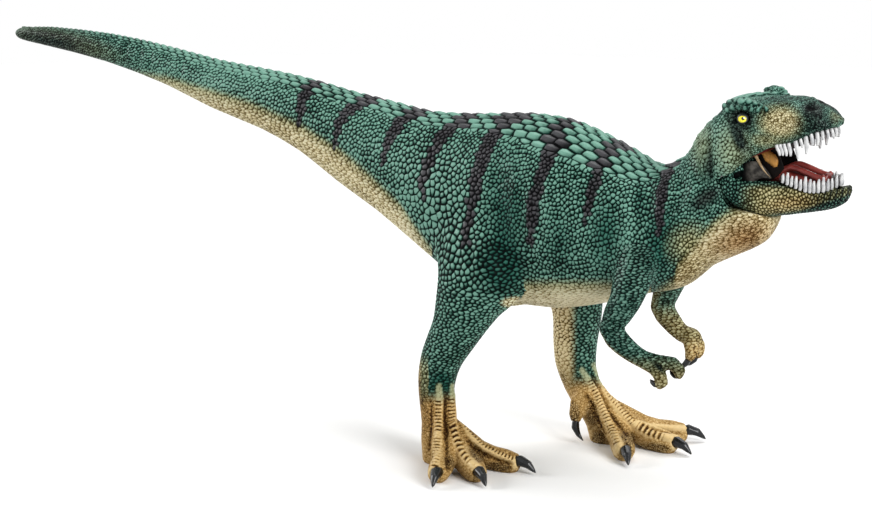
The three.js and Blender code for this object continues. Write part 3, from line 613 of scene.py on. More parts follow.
# Ridges, grooves and rungs of the feet, drawn on the side that the photograph shows
footFolds = {
    "right_leg": [
        ([(439, 386), (439, 412), (438, 431), (437, 446), (436, 460), (434.5, 470)],
         (9, 11, 11, 11, 12, 12), 0.55),
        ([(453, 386), (453, 407), (453, 421), (457, 443), (466, 458), (477, 468)],
         (9, 11, 10, 10, 12, 12), 0.6),
        ([(462, 421), (468, 433), (484, 449), (498, 455), (512, 460), (519, 462)],
         (6, 7, 8, 8, 9, 9), 0.45),
        ([(445, 384), (446, 398), (445, 417), (446, 431), (447.5, 460), (449, 469)],
         (3, 4, 5, 6, 7, 7), -0.75),
        ([(464, 434), (470, 443), (480, 452), (494, 459), (512, 464)], (4, 7, 8, 6, 4), -0.8),
        ([(431, 396), (431, 425), (429, 450)], (3, 4, 4), -0.35),
    ],
    "left_leg": [
        ([(582, 370), (589, 382), (596, 392), (601, 404), (606, 416), (610, 427), (615, 437), (621, 448)],
         (9, 11, 11, 12), 0.6),
        ([(594, 365), (606, 389), (612, 399), (618, 409), (626, 419), (646, 433), (676, 439)],
         (9, 10, 11, 12), 0.6),
        ([(637, 422), (650, 426), (670, 428), (690, 428)], (6, 7, 8, 8), 0.4),
        ([(590, 372), (597, 385), (604, 399), (609, 410), (616, 421), (628, 434)], (3, 4, 5, 7, 8), -0.75),
        ([(585, 390), (591, 405), (597, 420), (604, 436)], (4, 7, 8, 6), -0.6),
        ([(648, 427), (662, 431), (680, 434)], (3, 4, 3), -0.5),
    ],
}
# Areas of fine beads between the tendons, and the light collars round the claws
beadAreas = {
    "right_leg": [
        ((478, 452), (15, 17)), ((449.5, 462), (8, 13)), ((499, 467), (22, 8)), ((422, 385), (10, 30)),
    ],
    "left_leg": [
        ((592.5, 412), (10, 22)), ((598, 443), (12, 19)), ((574, 413), (10, 20)), ((627, 440), (14, 15)),
        ((652, 449), (30, 9)), ((560, 375), (11, 32)),
    ],
}
toeCollars = {
    "right_leg": [((434, 472), (10, 7)), ((481, 473), (8, 9)), ((515, 465), (5, 9))],
    "left_leg": [((611, 452), (10, 8)), ((675, 446), (6, 10)), ((692, 430), (5, 8)), ((574, 428), (9, 5))],
}
handFolds = {
    "right_arm": [
        ([(647, 358), (662, 368), (673, 378)], (4, 5, 6), -0.7),
        ([(650, 354), (668, 358), (679, 369)], (6, 7, 7), 0.3),
        ([(650, 365), (663, 376), (668, 384)], (6, 7, 7), 0.3),
    ],
    "left_arm": [
        ([(690, 340), (697, 345), (699, 356)], (5, 6, 6), 0.3),
    ],
}
footRungs = {
    "right_leg": [
        ([(437.5, 436), (436, 458), (434.5, 469)], (9, 10, 10), 3.0, 0.55),
        ([(451.5, 422), (455.5, 436), (462, 452), (470, 463)], (9, 10, 8), 5.0, 0.3),
        ([(438, 398), (438.5, 434)], (8, 9), 3.6, 0.6),
        ([(450, 396), (451.5, 422)], (7, 8), 3.6, 0.65),
        ([(463, 424), (484, 446), (515, 459)], (4, 6), 3.6, 0.55),
    ],
    "left_leg": [
        ([(609, 423), (614, 436), (617, 446)], (9, 11, 9), 3.1, 0.5),
        ([(637, 425), (650, 432), (664, 438)], (11, 12, 10), 5.0, 0.3),
        ([(588, 378), (601, 404), (609, 423)], (8, 10), 3.4, 0.65),
        ([(598, 372), (612, 398), (634, 424)], (8, 10), 3.4, 0.62),
    ],
}


# Painted light: the upper side of every scale gets a painted highlight, and its lower rim stays dark as
# painted shade
paintedLightWay = np.array((-0.45, 0.0, 0.9))


# Each corner's nearest scale, its place from the scale's middle, and its distance from the groove
def nearestScale(points, seeds, way, ratio):
    tree = KDTree(len(seeds))
    for index, seed in enumerate(seeds):
        tree.insert(points[seed], index)
    tree.balance()
    neighbours = 10
    found = np.array([[hit[1] for hit in tree.find_n(point, neighbours)] for point in points])
    rows = np.arange(len(points))
    squash = (1.0 - 1.0 / ratio ** 2)[:, None]
    offsets = points[:, None, :] - points[seeds[found]]
    gaps = (offsets ** 2).sum(2) - squash * np.einsum("nkc,nc->nk", offsets, way) ** 2
    first = gaps.argmin(1)
    nearest = found[rows, first]
    between = points[seeds[nearest]][:, None, :] - points[seeds[found]]
    apart = (between ** 2).sum(2) - squash * np.einsum("nkc,nc->nk", between, way) ** 2
    groove = (gaps - gaps[rows, first][:, None]) / (2 * np.sqrt(np.maximum(apart, 1e-9)))
    groove[rows, first] = 1e9
    return nearest, offsets[rows, first], groove.min(1)


# Regions of skin and jaw in the photograph: centre, half widths, and turn in degrees where there is one
regions = {
    "thigh": ((442, 225), (62, 130), -12.0),
    "thighFold": ((500, 215), (30, 85)),
    "knee": ((505, 268), (45, 45)),
    "hipLobe": ((511, 300), (18, 12)),
    "hipFlap": ((517, 303), (20, 8)),
    "ankle": ((441, 383), (20, 18)),
    "fingerGroove": ((660, 368), (13, 5), 42.0),
    "dewlap": ((742, 240), (56, 30), -20.0),
    "jowl": ((722, 160), (22, 40)),
    "behindSnout": ((720, 155), (26, 60)),
    "cheek": ((780, 123), (32, 25)),
    "cheekMiddle": ((783, 121), (26, 20)),
    "mouthCleft": ((737, 176.5), (14, 5), -28.0),
    "nostril": ((810.6, 107.6), (7, 4.5)),
    "jawWarm": ((790, 203), (40, 12), -6.0),
    "jawDark": ((790, 186), (50, 6), 8.0),
    "jawDryBrushAndLight": ((770, 200), (40, 20)),
}


def region(px, name):
    return patch(px, *regions[name])


# The skin's surface and all that is known at each corner of it
def skinSurface():
    points, faces = wrapped(skinNodes, skin["cell"], skin["growth"])
    at = SimpleNamespace(points=points, faces=faces, edges=edgesOf(faces))
    label = nearestNode(points)
    at.belongs = {name: label == index for index, name in enumerate(skinNodes)}
    at.px = inPhoto(points)
    at.own = inPhoto(points, "own")
    at.far = inPhoto(points, "far")
    at.right = at.belongs["right_leg"]
    at.left = at.belongs["left_leg"]
    at.legs = at.right | at.left
    at.arms = at.belongs["right_arm"] | at.belongs["left_arm"]
    at.trunk = at.belongs["torso"] | at.belongs["tail"] | at.belongs["neck"]
    at.head = at.belongs["skull"]
    print("skin wrapped", len(points))
    return at


# Softening: most on the trunk and thighs, least on head, feet and hands
def softenSkin(at):
    strength = np.where(at.trunk, 1.0, 0.0)
    strength[at.legs] = smooth(at.points[at.legs, 2], 8.0, 30.0) * 0.95 + 0.05
    strength[at.arms] = 0.25
    strength[at.head] = 0.12
    strength *= 0.35 + 0.65 * smooth(at.points[:, 0], -126.0, -95.0)
    strength = blurred(strength, at.edges, 6)
    at.points = softened(at.points, at.edges, strength, skin["trunkRounds"])
    at.points = softened(at.points, at.edges, np.full(len(at.points), 0.6), 3)
    at.normals = normalsOf(at.points, at.faces)


# Folds of trunk, neck and head, which move each corner out or in by some mm
def foldBody(at, moved):
    aside = np.abs(at.normals[:, 1]) > 0.05
    outward = at.normals[:, 1] * np.sign(at.points[:, 1])
    sides = (at.trunk | at.legs) & aside & (at.points[:, 2] > skin["bodyFolds"])
    throat = (at.belongs["neck"] | at.belongs["torso"] | at.head) & aside
    outer = at.head & (outward > -0.1)
    for folds, wanted, fade in ((trunkFolds, sides, 0.2), (neckFolds, throat, 0.15), (headFolds, outer, 0.0)):
        for line, widths, height in folds:
            near, along, share = nearLine(at.px[wanted], line, widths)
            ends = smooth(share, 0.0, fade) * (1.0 - smooth(share, 1.0 - fade, 1.0)) if fade else 1.0
            moved[wanted] += height * smooth(near, 0.0, 1.0) * ends
    for centre, reach, height in headSwells:
        moved[outer] += height * patch(at.px[outer], centre, reach)
    at.knob = np.zeros(len(at.points))
    for u, v, radius in browKnobs["row"]:
        away = np.linalg.norm(at.px[outer] - (u, v), axis=1) / radius
        at.knob[outer] = np.maximum(at.knob[outer], np.sqrt(np.maximum(1.0 - away ** 2, 0.0)))
    crest = at.head & (outward < 0.2) & (at.points[:, 2] > skin["crest"])
    wave = np.cos(2 * math.pi * (at.far[crest, 0] - crestRibs["centre"][0]) / crestRibs["spacing"])
    ribbed = patch(at.far[crest], crestRibs["centre"], crestRibs["reach"])
    moved[crest] += crestRibs["height"] * 0.5 * wave * ribbed
    moved += 1.1 * np.where(at.trunk & (np.abs(at.points[:, 1]) < 7.0), region(at.px, "hipLobe"), 0.0)


# Folds of the feet and hands, with the feet's tendons, rungs, bead areas and collars
def foldLimbs(at, moved):
    facing = at.normals @ backward
    at.rung, at.area, at.collar, at.tendon = np.zeros((4, len(at.points)))
    for name, folds in footFolds.items():
        low = at.points[:, 2] < skin["footFolds"]
        part = np.flatnonzero(at.belongs[name] & (facing > 0.0) & low)
        own = at.own[part]
        seen = smooth(facing[part], 0.0, 0.3)
        for centre, radii in beadAreas[name]:
            at.area[part] = np.maximum(at.area[part], np.clip(1.8 * patch(own, centre, radii), 0.0, 1.0))
        for centre, radii in toeCollars[name]:
            ring = np.clip(1.5 * patch(own, centre, radii), 0.0, 1.0) * seen
            at.collar[part] = np.maximum(at.collar[part], ring)
        for line, widths, height in folds:
            near, along, share = nearLine(own, line, widths)
            pressed = smooth(near, 0.0, 1.0) * seen * smooth(share, 0.0, 0.12)
            moved[part] += height * pressed
            if height > 0:
                at.tendon[part] = np.maximum(at.tendon[part], smooth(near, 0.05, 0.5) * seen)
            else:
                at.tendon[part] -= 1.1 * pressed
        for line, widths, spacing, thin in footRungs[name]:
            near, along, share = nearLine(own, line, widths)
            wave = 0.5 + 0.5 * np.cos(2 * math.pi * along / spacing)
            ends = smooth(share, 0.0, 0.05) * (1.0 - smooth(share, 0.95, 1.0))
            slot = smooth(wave, thin, thin + 0.25) * smooth(near, 0.1, 0.4) * smooth(facing[part], 0.1, 0.4)
            at.rung[part] = np.maximum(at.rung[part], slot * ends)
    for name, folds in handFolds.items():
        part = np.flatnonzero(at.belongs[name] & (facing > 0.0))
        for line, widths, height in folds:
            near, along, share = nearLine(at.own[part], line, widths)
            moved[part] += height * smooth(near, 0.0, 1.0) * smooth(facing[part], 0.0, 0.3)
    at.collar = at.collar * (at.points[:, 2] > 1.0)
    moved += 0.25 * at.collar


def foldSkin(at):
    moved = np.zeros(len(at.points))
    foldBody(at, moved)
    foldLimbs(at, moved)
    moved = blurred(moved, at.edges, 2) + browKnobs["height"] * at.knob
    at.points = at.points + at.normals * moved[:, None]
    at.normals = normalsOf(at.points, at.faces)
    print("skin folded")


# Way round the back from its middle line in mm, and how far each corner belongs to the scutes there
def findBack(at):
    x, y, z = at.points.T
    stations, top, wide = trunkProfile(at.points, at.trunk)
    down = z - (np.interp(x, stations, top) - np.interp(x, stations, wide))
    at.arc = np.arctan2(y, np.maximum(down, 0.01)) * np.hypot(y, down)
    reach = scuteSize(x, 3)
    onBack = (at.trunk | at.head) & (x < scuteRows["stations"][-1][0]) & (at.normals[:, 2] > 0.0)
    at.backness = np.where(onBack, 1.0 - smooth(np.abs(at.arc), reach - 0.4, reach + 0.4), 0.0)


# How far apart beads stand, and the way and ratio in which they are drawn out
def sizeBeads(at):
    high = at.points[:, 2]
    thigh = np.where(at.trunk | at.legs, region(at.px, "thigh"), 0.0)
    tailward = smooth(at.points[:, 0], -120.0, -20.0)
    pitch = np.full(len(at.points), skin["flankPitch"]) * (0.62 + 0.38 * tailward)
    pitch += (skin["thighPitch"] - pitch) * thigh
    for name, bottom, top in (("legPitch", 34.0, 52.0), ("footPitch", 10.0, 24.0)):
        lower = skin[name] + (pitch - skin[name]) * smooth(high, bottom, top)
        pitch = np.where(at.legs, lower, pitch)
    pitch = np.where(at.belongs["neck"], skin["neckPitch"], pitch)
    onHead = skin["headPitch"] + (skin["jowlPitch"] - skin["headPitch"]) * region(at.px, "jowl")
    pitch = np.where(at.head, onHead, pitch)
    pitch = np.where(at.arms, skin["armPitch"], pitch)
    pitch += (skin["bellyPitch"] - pitch) * at.cream
    at.pitch = blurred(pitch, at.edges, 8)
    way = np.zeros_like(at.points)
    way[:, 2] = 1.0
    way[at.cream > 0.5] = (1.0, 0.0, 0.0)
    around = unit(np.cross(at.normals, (0.0, 0.0, 1.0)))
    limb = (at.legs & (high < skin["limbScales"])) | at.arms
    way[limb] = around[limb]
    knee = np.where(at.legs | at.trunk, region(at.px, "knee"), 0.0)
    way[knee > 0.4] = around[knee > 0.4]
    at.way = unit(way - at.normals * np.sum(way * at.normals, 1)[:, None])
    stretch = np.where(limb, skin["limbStretch"], skin["stretch"] + 1.1 * at.cream)
    at.stretch = np.where(at.arms, skin["armStretch"], stretch) + 0.5 * knee


# Where scales are lowered: on the feet, and where beads are too fine for the mesh, so that the paint
# carries them on an even surface
def findEvenParts(at):
    high = at.points[:, 2]
    at.tendon = np.clip(blurred(at.tendon, at.edges, 2), -1.0, 1.0)
    foot = np.where(at.legs, 1.0 - smooth(high, 13.0, 25.0), 0.0)
    sinew = np.where(at.legs, np.maximum(at.tendon, 0.0) * (1.0 - smooth(high, 17.0, 27.0)), 0.0)
    at.foot = np.clip(np.maximum(foot, sinew), 0.0, 1.0)
    snout = np.where(at.head, 1.0 - np.clip(1.6 * region(at.px, "behindSnout"), 0.0, 1.0), 0.0)
    arm = np.where(at.arms, 0.3 * (1.0 - smooth(high, 44.0, 52.0)), 0.0)
    raised = np.clip(2.0 * np.maximum(at.tendon, at.collar), 0.0, 1.0)
    fine = np.maximum(np.maximum(0.68 * snout, 0.4 * at.cream), arm)
    fine = np.maximum(fine, at.foot * np.maximum(at.area, 0.45) * (1.0 - 0.7 * raised))
    at.fine = blurred(np.clip(fine, 0.0, 1.0), at.edges, 2) * (at.knob < 0.02)


# Scutes on the back and beads elsewhere, raised from the surface
def raiseScales(at):
    scutes = scuteLattice(at.points, at.arc, at.backness > 0.3)
    free = np.flatnonzero(at.backness < 0.5)
    beads = free[scatter(at.points[free], at.pitch[free], at.way[free], at.stretch[free])]
    at.seeds = np.concatenate([scutes, beads])
    print("scales", len(scutes), len(beads))
    onBack = at.backness > 0.5
    tailToHead = unit(np.array([(1.0, 0.0, 0.0)]) - at.normals * at.normals[:, :1])
    way = np.where(onBack[:, None], tailToHead, at.way)
    ratio = np.where(onBack, scuteRows["stretch"], at.stretch)
    at.nearest, offset, groove = nearestScale(at.points, at.seeds, way, ratio)
    at.scute = at.nearest < len(scutes)
    rowLength, rowWidth = (scuteSize(at.points[:, 0], column) for column in (1, 2))
    size = np.where(at.scute, rowWidth, at.pitch * 0.95)
    rise = np.clip(groove / (0.42 * size), 0.0, 1.0)
    dome = np.sqrt(np.maximum(1.0 - (1.0 - rise) ** 3, 0.0))
    along = np.einsum("nc,nc->n", offset, way)
    sideways = np.linalg.norm(offset - way * along[:, None], axis=1)
    keel = 1.0 - np.clip(sideways / (0.55 * rowWidth), 0.0, 1.0)
    leaf = 0.55 - 0.55 * along / rowLength + 0.35 * keel
    form = np.where(at.scute, dome * leaf, dome)

    # Painted highlight on the side of each scale turned to the light, painted shade on the other side
    above = np.clip(offset @ paintedLightWay / (0.5 * size), -1.0, 1.0)
    bead = smooth(rise, 0.0, 0.5) * 0.74 + 0.12 * smooth(rise, 0.4, 0.9) + 0.3 * above
    # Scutes: a painted highlight along the keel and towards the rear tip
    plate = smooth(rise, 0.0, 0.42) * (0.42 + 0.42 * np.clip(leaf, 0.0, 1.4) + 0.18 * above)
    relief = np.where(at.scute, plate, bead)
    # Feet: raised tendons and collars painted lighter and pressed grooves darker, as painted highlight and
    # painted shade
    footLightAndShade = 0.56 + (0.3 - 0.2 * smooth(at.points[:, 2], 16.0, 25.0)) * at.tendon + 0.25 * at.collar
    relief = relief + (footLightAndShade - relief) * at.foot * 0.72
    relief = relief + (0.9 - relief) * 0.85 * at.fine * (1.0 - at.foot)
    # Knobs: lighter on their tops and on faces turned up, a painted highlight; the rungs' slots take the
    # groove tone, painted shade
    button = 0.05 + 0.68 * smooth(at.knob, 0.2, 0.95) + 0.2 * np.clip(at.normals[:, 2], 0.0, 1.0)
    at.relief = np.where(at.knob > 0.02, button, relief) * (1.0 - at.rung)

    fold = np.where(at.trunk | at.legs, region(at.px, "thighFold"), 0.0)
    height = np.where(at.scute, scuteRows["height"] * rowWidth / 2.2, skin["relief"] * size)
    height = height * (1.0 - 0.72 * at.foot) * (1.0 - 0.3 * fold) * (1.0 - 0.3 * at.cream)
    height = np.where(at.knob > 0.05, 0.0, height * (1.0 - 0.75 * at.fine))
    lift = height * (form - 0.7) - 0.4 * at.rung
    at.points = at.points + at.normals * lift[:, None]
    at.points[:, 2] = np.maximum(at.points[:, 2], soleGap)
    print("scales raised")


# Spots of paint: the area they keep to, strength, centre, half widths, and turn where there is one
paintSpots = {
    # Darker green, mostly painted shade: in the fold between thigh and flank, at the knee, under the shoulder
    # and on the neck
    "deepGreenAndShade": [
        ("all", 1.0, (505, 215), (30, 100)),
        ("all", 1.1, (502, 270), (40, 42)),
        ("all", 0.9, (605, 235), (26, 60)),
        ("all", 0.6, (560, 245), (22, 50)),
        ("all", 1.0, (662, 232), (26, 40)),
        ("all", 0.8, (655, 262), (24, 34)),
        ("all", 0.7, (640, 200), (10, 30)),
    ],
    # Painted highlights where light falls (rear thigh, upper back, shoulder, nape, top of the head) and
    # painted shade where it falls off (knee, under the chest, dewlap), with light drybrushing
    "dryBrushAndLight": [
        ("all", 0.16, (410, 230), (44, 130)),
        ("all", 0.16, (230, 80), (130, 36)),
        ("all", 0.12, (610, 150), (60, 26)),
        ("all", 0.2, (627, 235), (10, 60)),
        ("head", 0.27, (722, 155), (20, 44)),
        ("all", -0.12, (500, 265), (40, 50)),
        ("all", 0.2, (698, 138), (18, 36)),
        ("head", 0.12, (748, 92), (34, 14)),
        ("cream", 0.4, (590, 285), (110, 40)),
        ("all", -0.2, (682, 270), (34, 28)),
        ("all", -0.14, (748, 236), (40, 26)),
        ("all", 0.1, (455, 200), (44, 70)),
        ("all", 0.1, (370, 130), (60, 44)),
        ("head", 0.1, (742, 96), (40, 20)),
    ],
    # Partly the skin's own dark paint (round the eye, on the snout, along the lip, on the tail) and partly
    # painted shade (in the nostril and in the neck's crease and fold)
    "dark": [
        ("head", 1.6, (741, 120), (20, 21)),
        ("head", 1.3, (739, 140), (10, 24), -28.0),
        ("head", 1.4, (812, 109), (17, 13)),
        ("head", 0.95, (819, 124), (32, 24)),
        ("head", 0.9, (800, 142), (40, 7), -22.0),
        ("throat", 1.3, (706, 198), (30, 14), -32.0),
        ("throat", 0.9, (709, 164), (7, 30)),
        ("all", 0.5, (52, 42), (90, 22), 14.0),
    ],
    "olive": [
        ("head", 0.7, (768, 140), (30, 14)),
        ("head", 0.5, (835, 116), (9, 14)),
        ("all", 0.6, (52, 42), (90, 22), 14.0),
        ("head", 0.4, (735, 150), (34, 44)),
        ("chest", 0.85, (692, 246), (34, 32)),
        ("all", 0.35, (702, 145), (20, 40)),
    ],
}
# Heights in the photograph between which the paint of a limb changes, going down
paintEdges = {
    "rightCalf": (350, 372),
    "rightHeel": (350, 388),
    "rightFoot": (390, 408),
    "rightToes": (425, 445),
    "leftStrip": (296, 304),
    "leftShin": (372, 392),
    "leftAnkle": (372, 395),
    "leftFoot": (374, 392),
    "footBrown": (395, 425),
    "leftForearm": (300, 322),
    "leftElbow": (300, 330),
    "leftWrist": (335, 350),
    "rightElbow": (318, 335),
    "rightForearm": (352, 372),
    "rightHand": (366, 380),
}
# Columns of the photograph behind which the legs' rear sides carry other paint
paintColumns = {"calf": 428.0, "strip": 572.0, "shin": 574.0}


# The spots of one paint over the skin, added up or the strongest taken
def spotted(name, px, areas, put=np.add):
    total = np.zeros(len(px))
    for area, strength, *shape in paintSpots[name]:
        total = put(total, strength * areas[area] * patch(px, *shape))
    return total


def below(v, name):
    return smooth(v, *paintEdges[name])


# Whole scales in the dark stripes
def stripedScales(at, high):
    striped = np.zeros(len(at.seeds))
    for line, widths in photo["stripes"]:
        near, along, share = nearLine(at.px[at.seeds], line, widths)
        striped = np.maximum(striped, near > random.random(len(at.seeds)) * 0.3 - 0.1)
    stripe = striped[at.nearest] * high * ~at.head * ~at.arms
    return blurred(stripe.astype(float), at.edges, 1)


# Ochre of the feet, of the strip behind the left shin and of the arms
def ochrePaint(at, strip):
    v = at.own[:, 1]
    ochre = np.zeros(len(at.points))
    back = smooth(-at.normals[:, 0], 0.35, 0.75)
    ochre[at.right] = np.maximum(below(v, "rightFoot"), 0.85 * back * below(v, "rightHeel"))[at.right]
    ochre[at.left] = np.maximum(below(v, "leftFoot"), strip)[at.left]
    ahead = at.normals @ np.array((0.8, -0.5, 0.3))
    rear = 0.35 + 0.5 * smooth(-ahead, -0.1, 0.7) + 0.4 * below(v, "leftWrist")
    rear = rear * (1.0 - 0.9 * smooth(ahead, 0.0, 0.6) * (1.0 - below(v, "leftElbow")))
    ochre = blurred(np.where(at.belongs["left_arm"], rear, ochre), at.edges, 8)
    under = smooth(-at.normals[:, 2] - 0.5 * at.normals[:, 0], 0.35, 0.9) * below(v, "rightElbow")
    return np.where(at.belongs["right_arm"], 0.6 * under + 0.3 * below(v, "rightHand"), ochre)


# Paint of the skin at each corner
def skinPaint(at):
    u, v = at.own.T
    high = at.points[:, 2] > skin["legPaint"]
    stripe = stripedScales(at, high)
    strip = smooth(paintColumns["strip"] - u, -6.0, 8.0) * below(v, "leftStrip")
    sinew = np.clip(at.tendon, 0.0, 1.0)
    bare = at.knob < 0.02
    throat = at.belongs["neck"] | at.head
    chest = at.belongs["neck"] | at.belongs["torso"]
    hand = at.belongs["right_arm"]
    areas = {"all": 1.0, "head": at.head, "throat": throat, "chest": chest, "cream": at.cream}
    ochre = ochrePaint(at, strip)

    # Painted shade: the mouth's cleft and the nostril's pit are painted dark and kept out of the highlights
    pit = throat * np.clip(2.2 * region(at.px, "mouthCleft"), 0.0, 1.0)
    pit = np.maximum(pit, at.head * np.clip(1.8 * region(at.px, "nostril"), 0.0, 1.0))
    dark = spotted("dark", at.px, areas) + 0.5 * smooth(-100.0 - at.points[:, 0], -8.0, 8.0) + 1.4 * pit
    # The hand is darker green; the groove between its fingers is painted shade
    dark = dark + hand * (0.3 * (1.0 - ochre) + 0.9 * region(at.own, "fingerGroove"))
    brown = 0.3 * at.area * at.foot * (1.0 - sinew) * below(v, "footBrown")
    dark = dark * bare + at.legs * brown

    # Darker green: painted shade from the spots, and darker green on the knobs and the right ankle
    deepGreenAndShade = np.where(bare, np.clip(spotted("deepGreenAndShade", at.px, areas), 0.0, 1.0) * high, 0.25)
    ankle = np.clip(1.6 * region(at.own, "ankle"), 0.0, 1.0)
    deepGreenAndShade = np.where(at.right, np.maximum(deepGreenAndShade, ankle), deepGreenAndShade)

    # Painted highlights and painted shade: the spots, lighter scutes, tendons, collars, left shin and right
    # toes
    dryBrushAndLight = spotted("dryBrushAndLight", at.px, areas) + 0.14 * at.scute
    dryBrushAndLight = np.where(at.legs & ~high, 0.0, dryBrushAndLight)
    dryBrushAndLight = dryBrushAndLight + at.legs * at.foot * (0.1 * at.tendon + 0.15 * at.collar)
    dryBrushAndLight = dryBrushAndLight + at.left * 0.16 * np.maximum(below(v, "leftShin"), strip)
    dryBrushAndLight = dryBrushAndLight + at.right * (0.14 * below(v, "rightToes") - 0.04)

    cheek = at.head * np.clip(1.5 * region(at.px, "cheek"), 0.0, 1.0) * bare
    border = smooth(at.cream, 0.0, 0.5) * (1.0 - smooth(at.cream, 0.6, 1.0))
    calf = at.right * (u < paintColumns["calf"]) * below(v, "rightCalf")
    shin = at.left * smooth(paintColumns["shin"] - u, 0.0, 8.0) * (1.0 - below(v, "leftShin"))
    olive = spotted("olive", at.px, areas, np.maximum)
    for more in (cheek, 0.8 * border * ~at.legs, 0.6 * calf, 0.5 * shin):
        olive = np.maximum(olive, more)
    olive = np.where(hand, 0.7 * below(v, "rightForearm"), olive)
    olive = np.where(at.belongs["left_arm"], 0.5 * below(v, "leftForearm"), olive)

    cream = smooth(at.cream, 0.25, 1.0)
    cream = cream + 0.6 * cheek * np.clip(1.4 * region(at.px, "cheekMiddle"), 0.0, 1.0)
    flap = (at.belongs["torso"] | at.right) * np.clip(2.2 * region(at.px, "hipFlap"), 0.0, 0.8)
    rearStrip = at.left * strip * (1.0 - below(v, "leftAnkle"))
    cream = np.maximum(np.clip(np.maximum(cream, flap), 0.0, 1.0), 0.7 * rearStrip)
    ochre = ochre * (1.0 - 0.5 * rearStrip)
    olive = np.maximum(olive, at.legs * 0.6 * sinew * at.foot * (1.0 - ochre))

    cell = random.random(len(at.seeds))[at.nearest]
    made = {
        "relief": at.relief * (1.0 - 0.9 * pit),
        "cell": cell + (0.5 - cell) * at.foot,
        "stripe": stripe,
        "deepGreenAndShade": deepGreenAndShade,
        "cream": cream,
        "dryBrushAndLight": dryBrushAndLight,
        "olive": olive,
        "ochre": ochre,
        "tan": np.clip(region(at.px, "dewlap") * (1.0 - at.head), 0.0, 1.0),
        "dark": np.clip(dark, 0.0, 1.0),
        "bead": np.clip(at.fine, 0.0, 1.0),
    }
    return {name: np.clip(values, -1.0, 1.4) for name, values in made.items()}


# A mesh of some of the faces, with its open rims closed inside the figure
def cutPiece(name, points, faces, normals, layers, material, wanted):
    part = faces[wanted]
    used = np.unique(part)
    order = np.full(len(points), -1)
    order[used] = np.arange(len(used))
    part = order[part]
    mesh = bpy.data.meshes.new(name)
    corners = [list(dict.fromkeys(face)) for face in part.tolist()]
    mesh.from_pydata(((points[used] + rump) * mm).tolist(), [], corners)
    shape = bmesh.new()
    shape.from_mesh(mesh)
    rims = [edge for edge in shape.edges if edge.is_boundary]
    filled = bmesh.ops.holes_fill(shape, edges=rims, sides=0)["faces"]
    bmesh.ops.poke(shape, faces=filled)
    shape.to_mesh(mesh)
    shape.free()
    extra = len(mesh.vertices) - len(used)
    for layer, values in layers.items():
        held = mesh.attributes.new(layer, "FLOAT", "POINT")
        held.data.foreach_set("value", np.concatenate([values[used], np.zeros(extra)]))
    mesh.polygons.foreach_set("use_smooth", np.ones(len(mesh.polygons), bool))
    smoothed = np.concatenate([normals[used], np.zeros((extra, 3))])
    mesh.normals_split_custom_set_from_vertices(smoothed.tolist())
    mesh.materials.append(material)
    made = bpy.data.objects.new(name, mesh)
    bpy.context.collection.objects.link(made)
    return made


def addSkin():
    at = skinSurface()
    softenSkin(at)
    foldSkin(at)
    findBack(at)
    at.cream = creamField(at)
    sizeBeads(at)
    findEvenParts(at)
    raiseScales(at)
    layers = skinPaint(at)
    normals = normalsOf(at.points, at.faces)
    shares = [blurred(owned.astype(float), at.edges, 8) for owned in at.belongs.values()]
    group = np.stack(shares, 1)[at.faces].sum(1).argmax(1)
    ahead = at.points[at.faces].mean(1)[:, 0] >= skin["torsoCut"]
    material = skinMaterial()
    for index, node in enumerate(skinNodes):
        mine = group == index
        cuts = {node + "_skin": mine}
        if node == "torso":
            cuts = {"torso_rear_skin": mine & ~ahead, "torso_front_skin": mine & ahead}
        for name, wanted in cuts.items():
            piece = cutPiece(name, at.points, at.faces, normals, layers, material, wanted)
            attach(piece, "figure")
            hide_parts(node)
            print(name, len(piece.data.polygons))


# A body swept along a line, with the half width and half height given at each point
def swept(name, line, widths, heights, material, sides=20, steps=48, across=(0.0, 1.0, 0.0)):
    line = np.array(line, float)
    share = np.linspace(0.0, 1.0, len(line))
    fine = np.linspace(0.0, 1.0, steps)
    spine = np.stack([curveThrough(share, line[:, axis], fine) for axis in range(3)], 1)
    wide = curveThrough(np.linspace(0.0, 1.0, len(widths)), np.array(widths, float), fine)
    high = curveThrough(np.linspace(0.0, 1.0, len(heights)), np.array(heights, float), fine)
    ahead = unit(np.gradient(spine, axis=0))
    side = unit(np.array(across) - ahead * (ahead @ np.array(across))[:, None])
    over = np.cross(ahead, side)
    angles = np.linspace(0.0, 2 * math.pi, sides, endpoint=False)
    rings = spine[:, None, :] + wide[:, None, None] * np.cos(angles)[None, :, None] * side[:, None, :]
    rings = rings + high[:, None, None] * np.sin(angles)[None, :, None] * over[:, None, :]
    return fromRings(name, rings, spine[0], spine[-1], material)


# A smooth curve through values at given shares
def curveThrough(share, values, wanted):
    slope = np.gradient(values, share)
    spot = np.clip(np.searchsorted(share, wanted) - 1, 0, len(share) - 2)
    gap = share[spot + 1] - share[spot]
    t = (wanted - share[spot]) / gap
    h00 = (1 + 2 * t) * (1 - t) ** 2
    h10 = t * (1 - t) ** 2
    h01 = t * t * (3 - 2 * t)
    h11 = t * t * (t - 1)
    levels = h00 * values[spot] + h01 * values[spot + 1]
    return levels + gap * (h10 * slope[spot] + h11 * slope[spot + 1])


# A closed body from rings of corners, with a point at each end
def fromRings(name, rings, start, end, material):
    count, sides = rings.shape[:2]
    shape = bmesh.new()
    made = [[shape.verts.new(place(corner)) for corner in ring] for ring in rings]
    first = shape.verts.new(place(start))
    last = shape.verts.new(place(end))
    for side in range(sides):
        after = (side + 1) % sides
        shape.faces.new((first, made[0][after], made[0][side]))
        shape.faces.new((last, made[-1][side], made[-1][after]))
        for ring in range(count - 1):
            low, high = made[ring], made[ring + 1]
            shape.faces.new((low[side], low[after], high[after], high[side]))
    bmesh.ops.recalc_face_normals(shape, faces=shape.faces)
    for face in shape.faces:
        face.smooth = True
    return fromShape(name, shape, material)


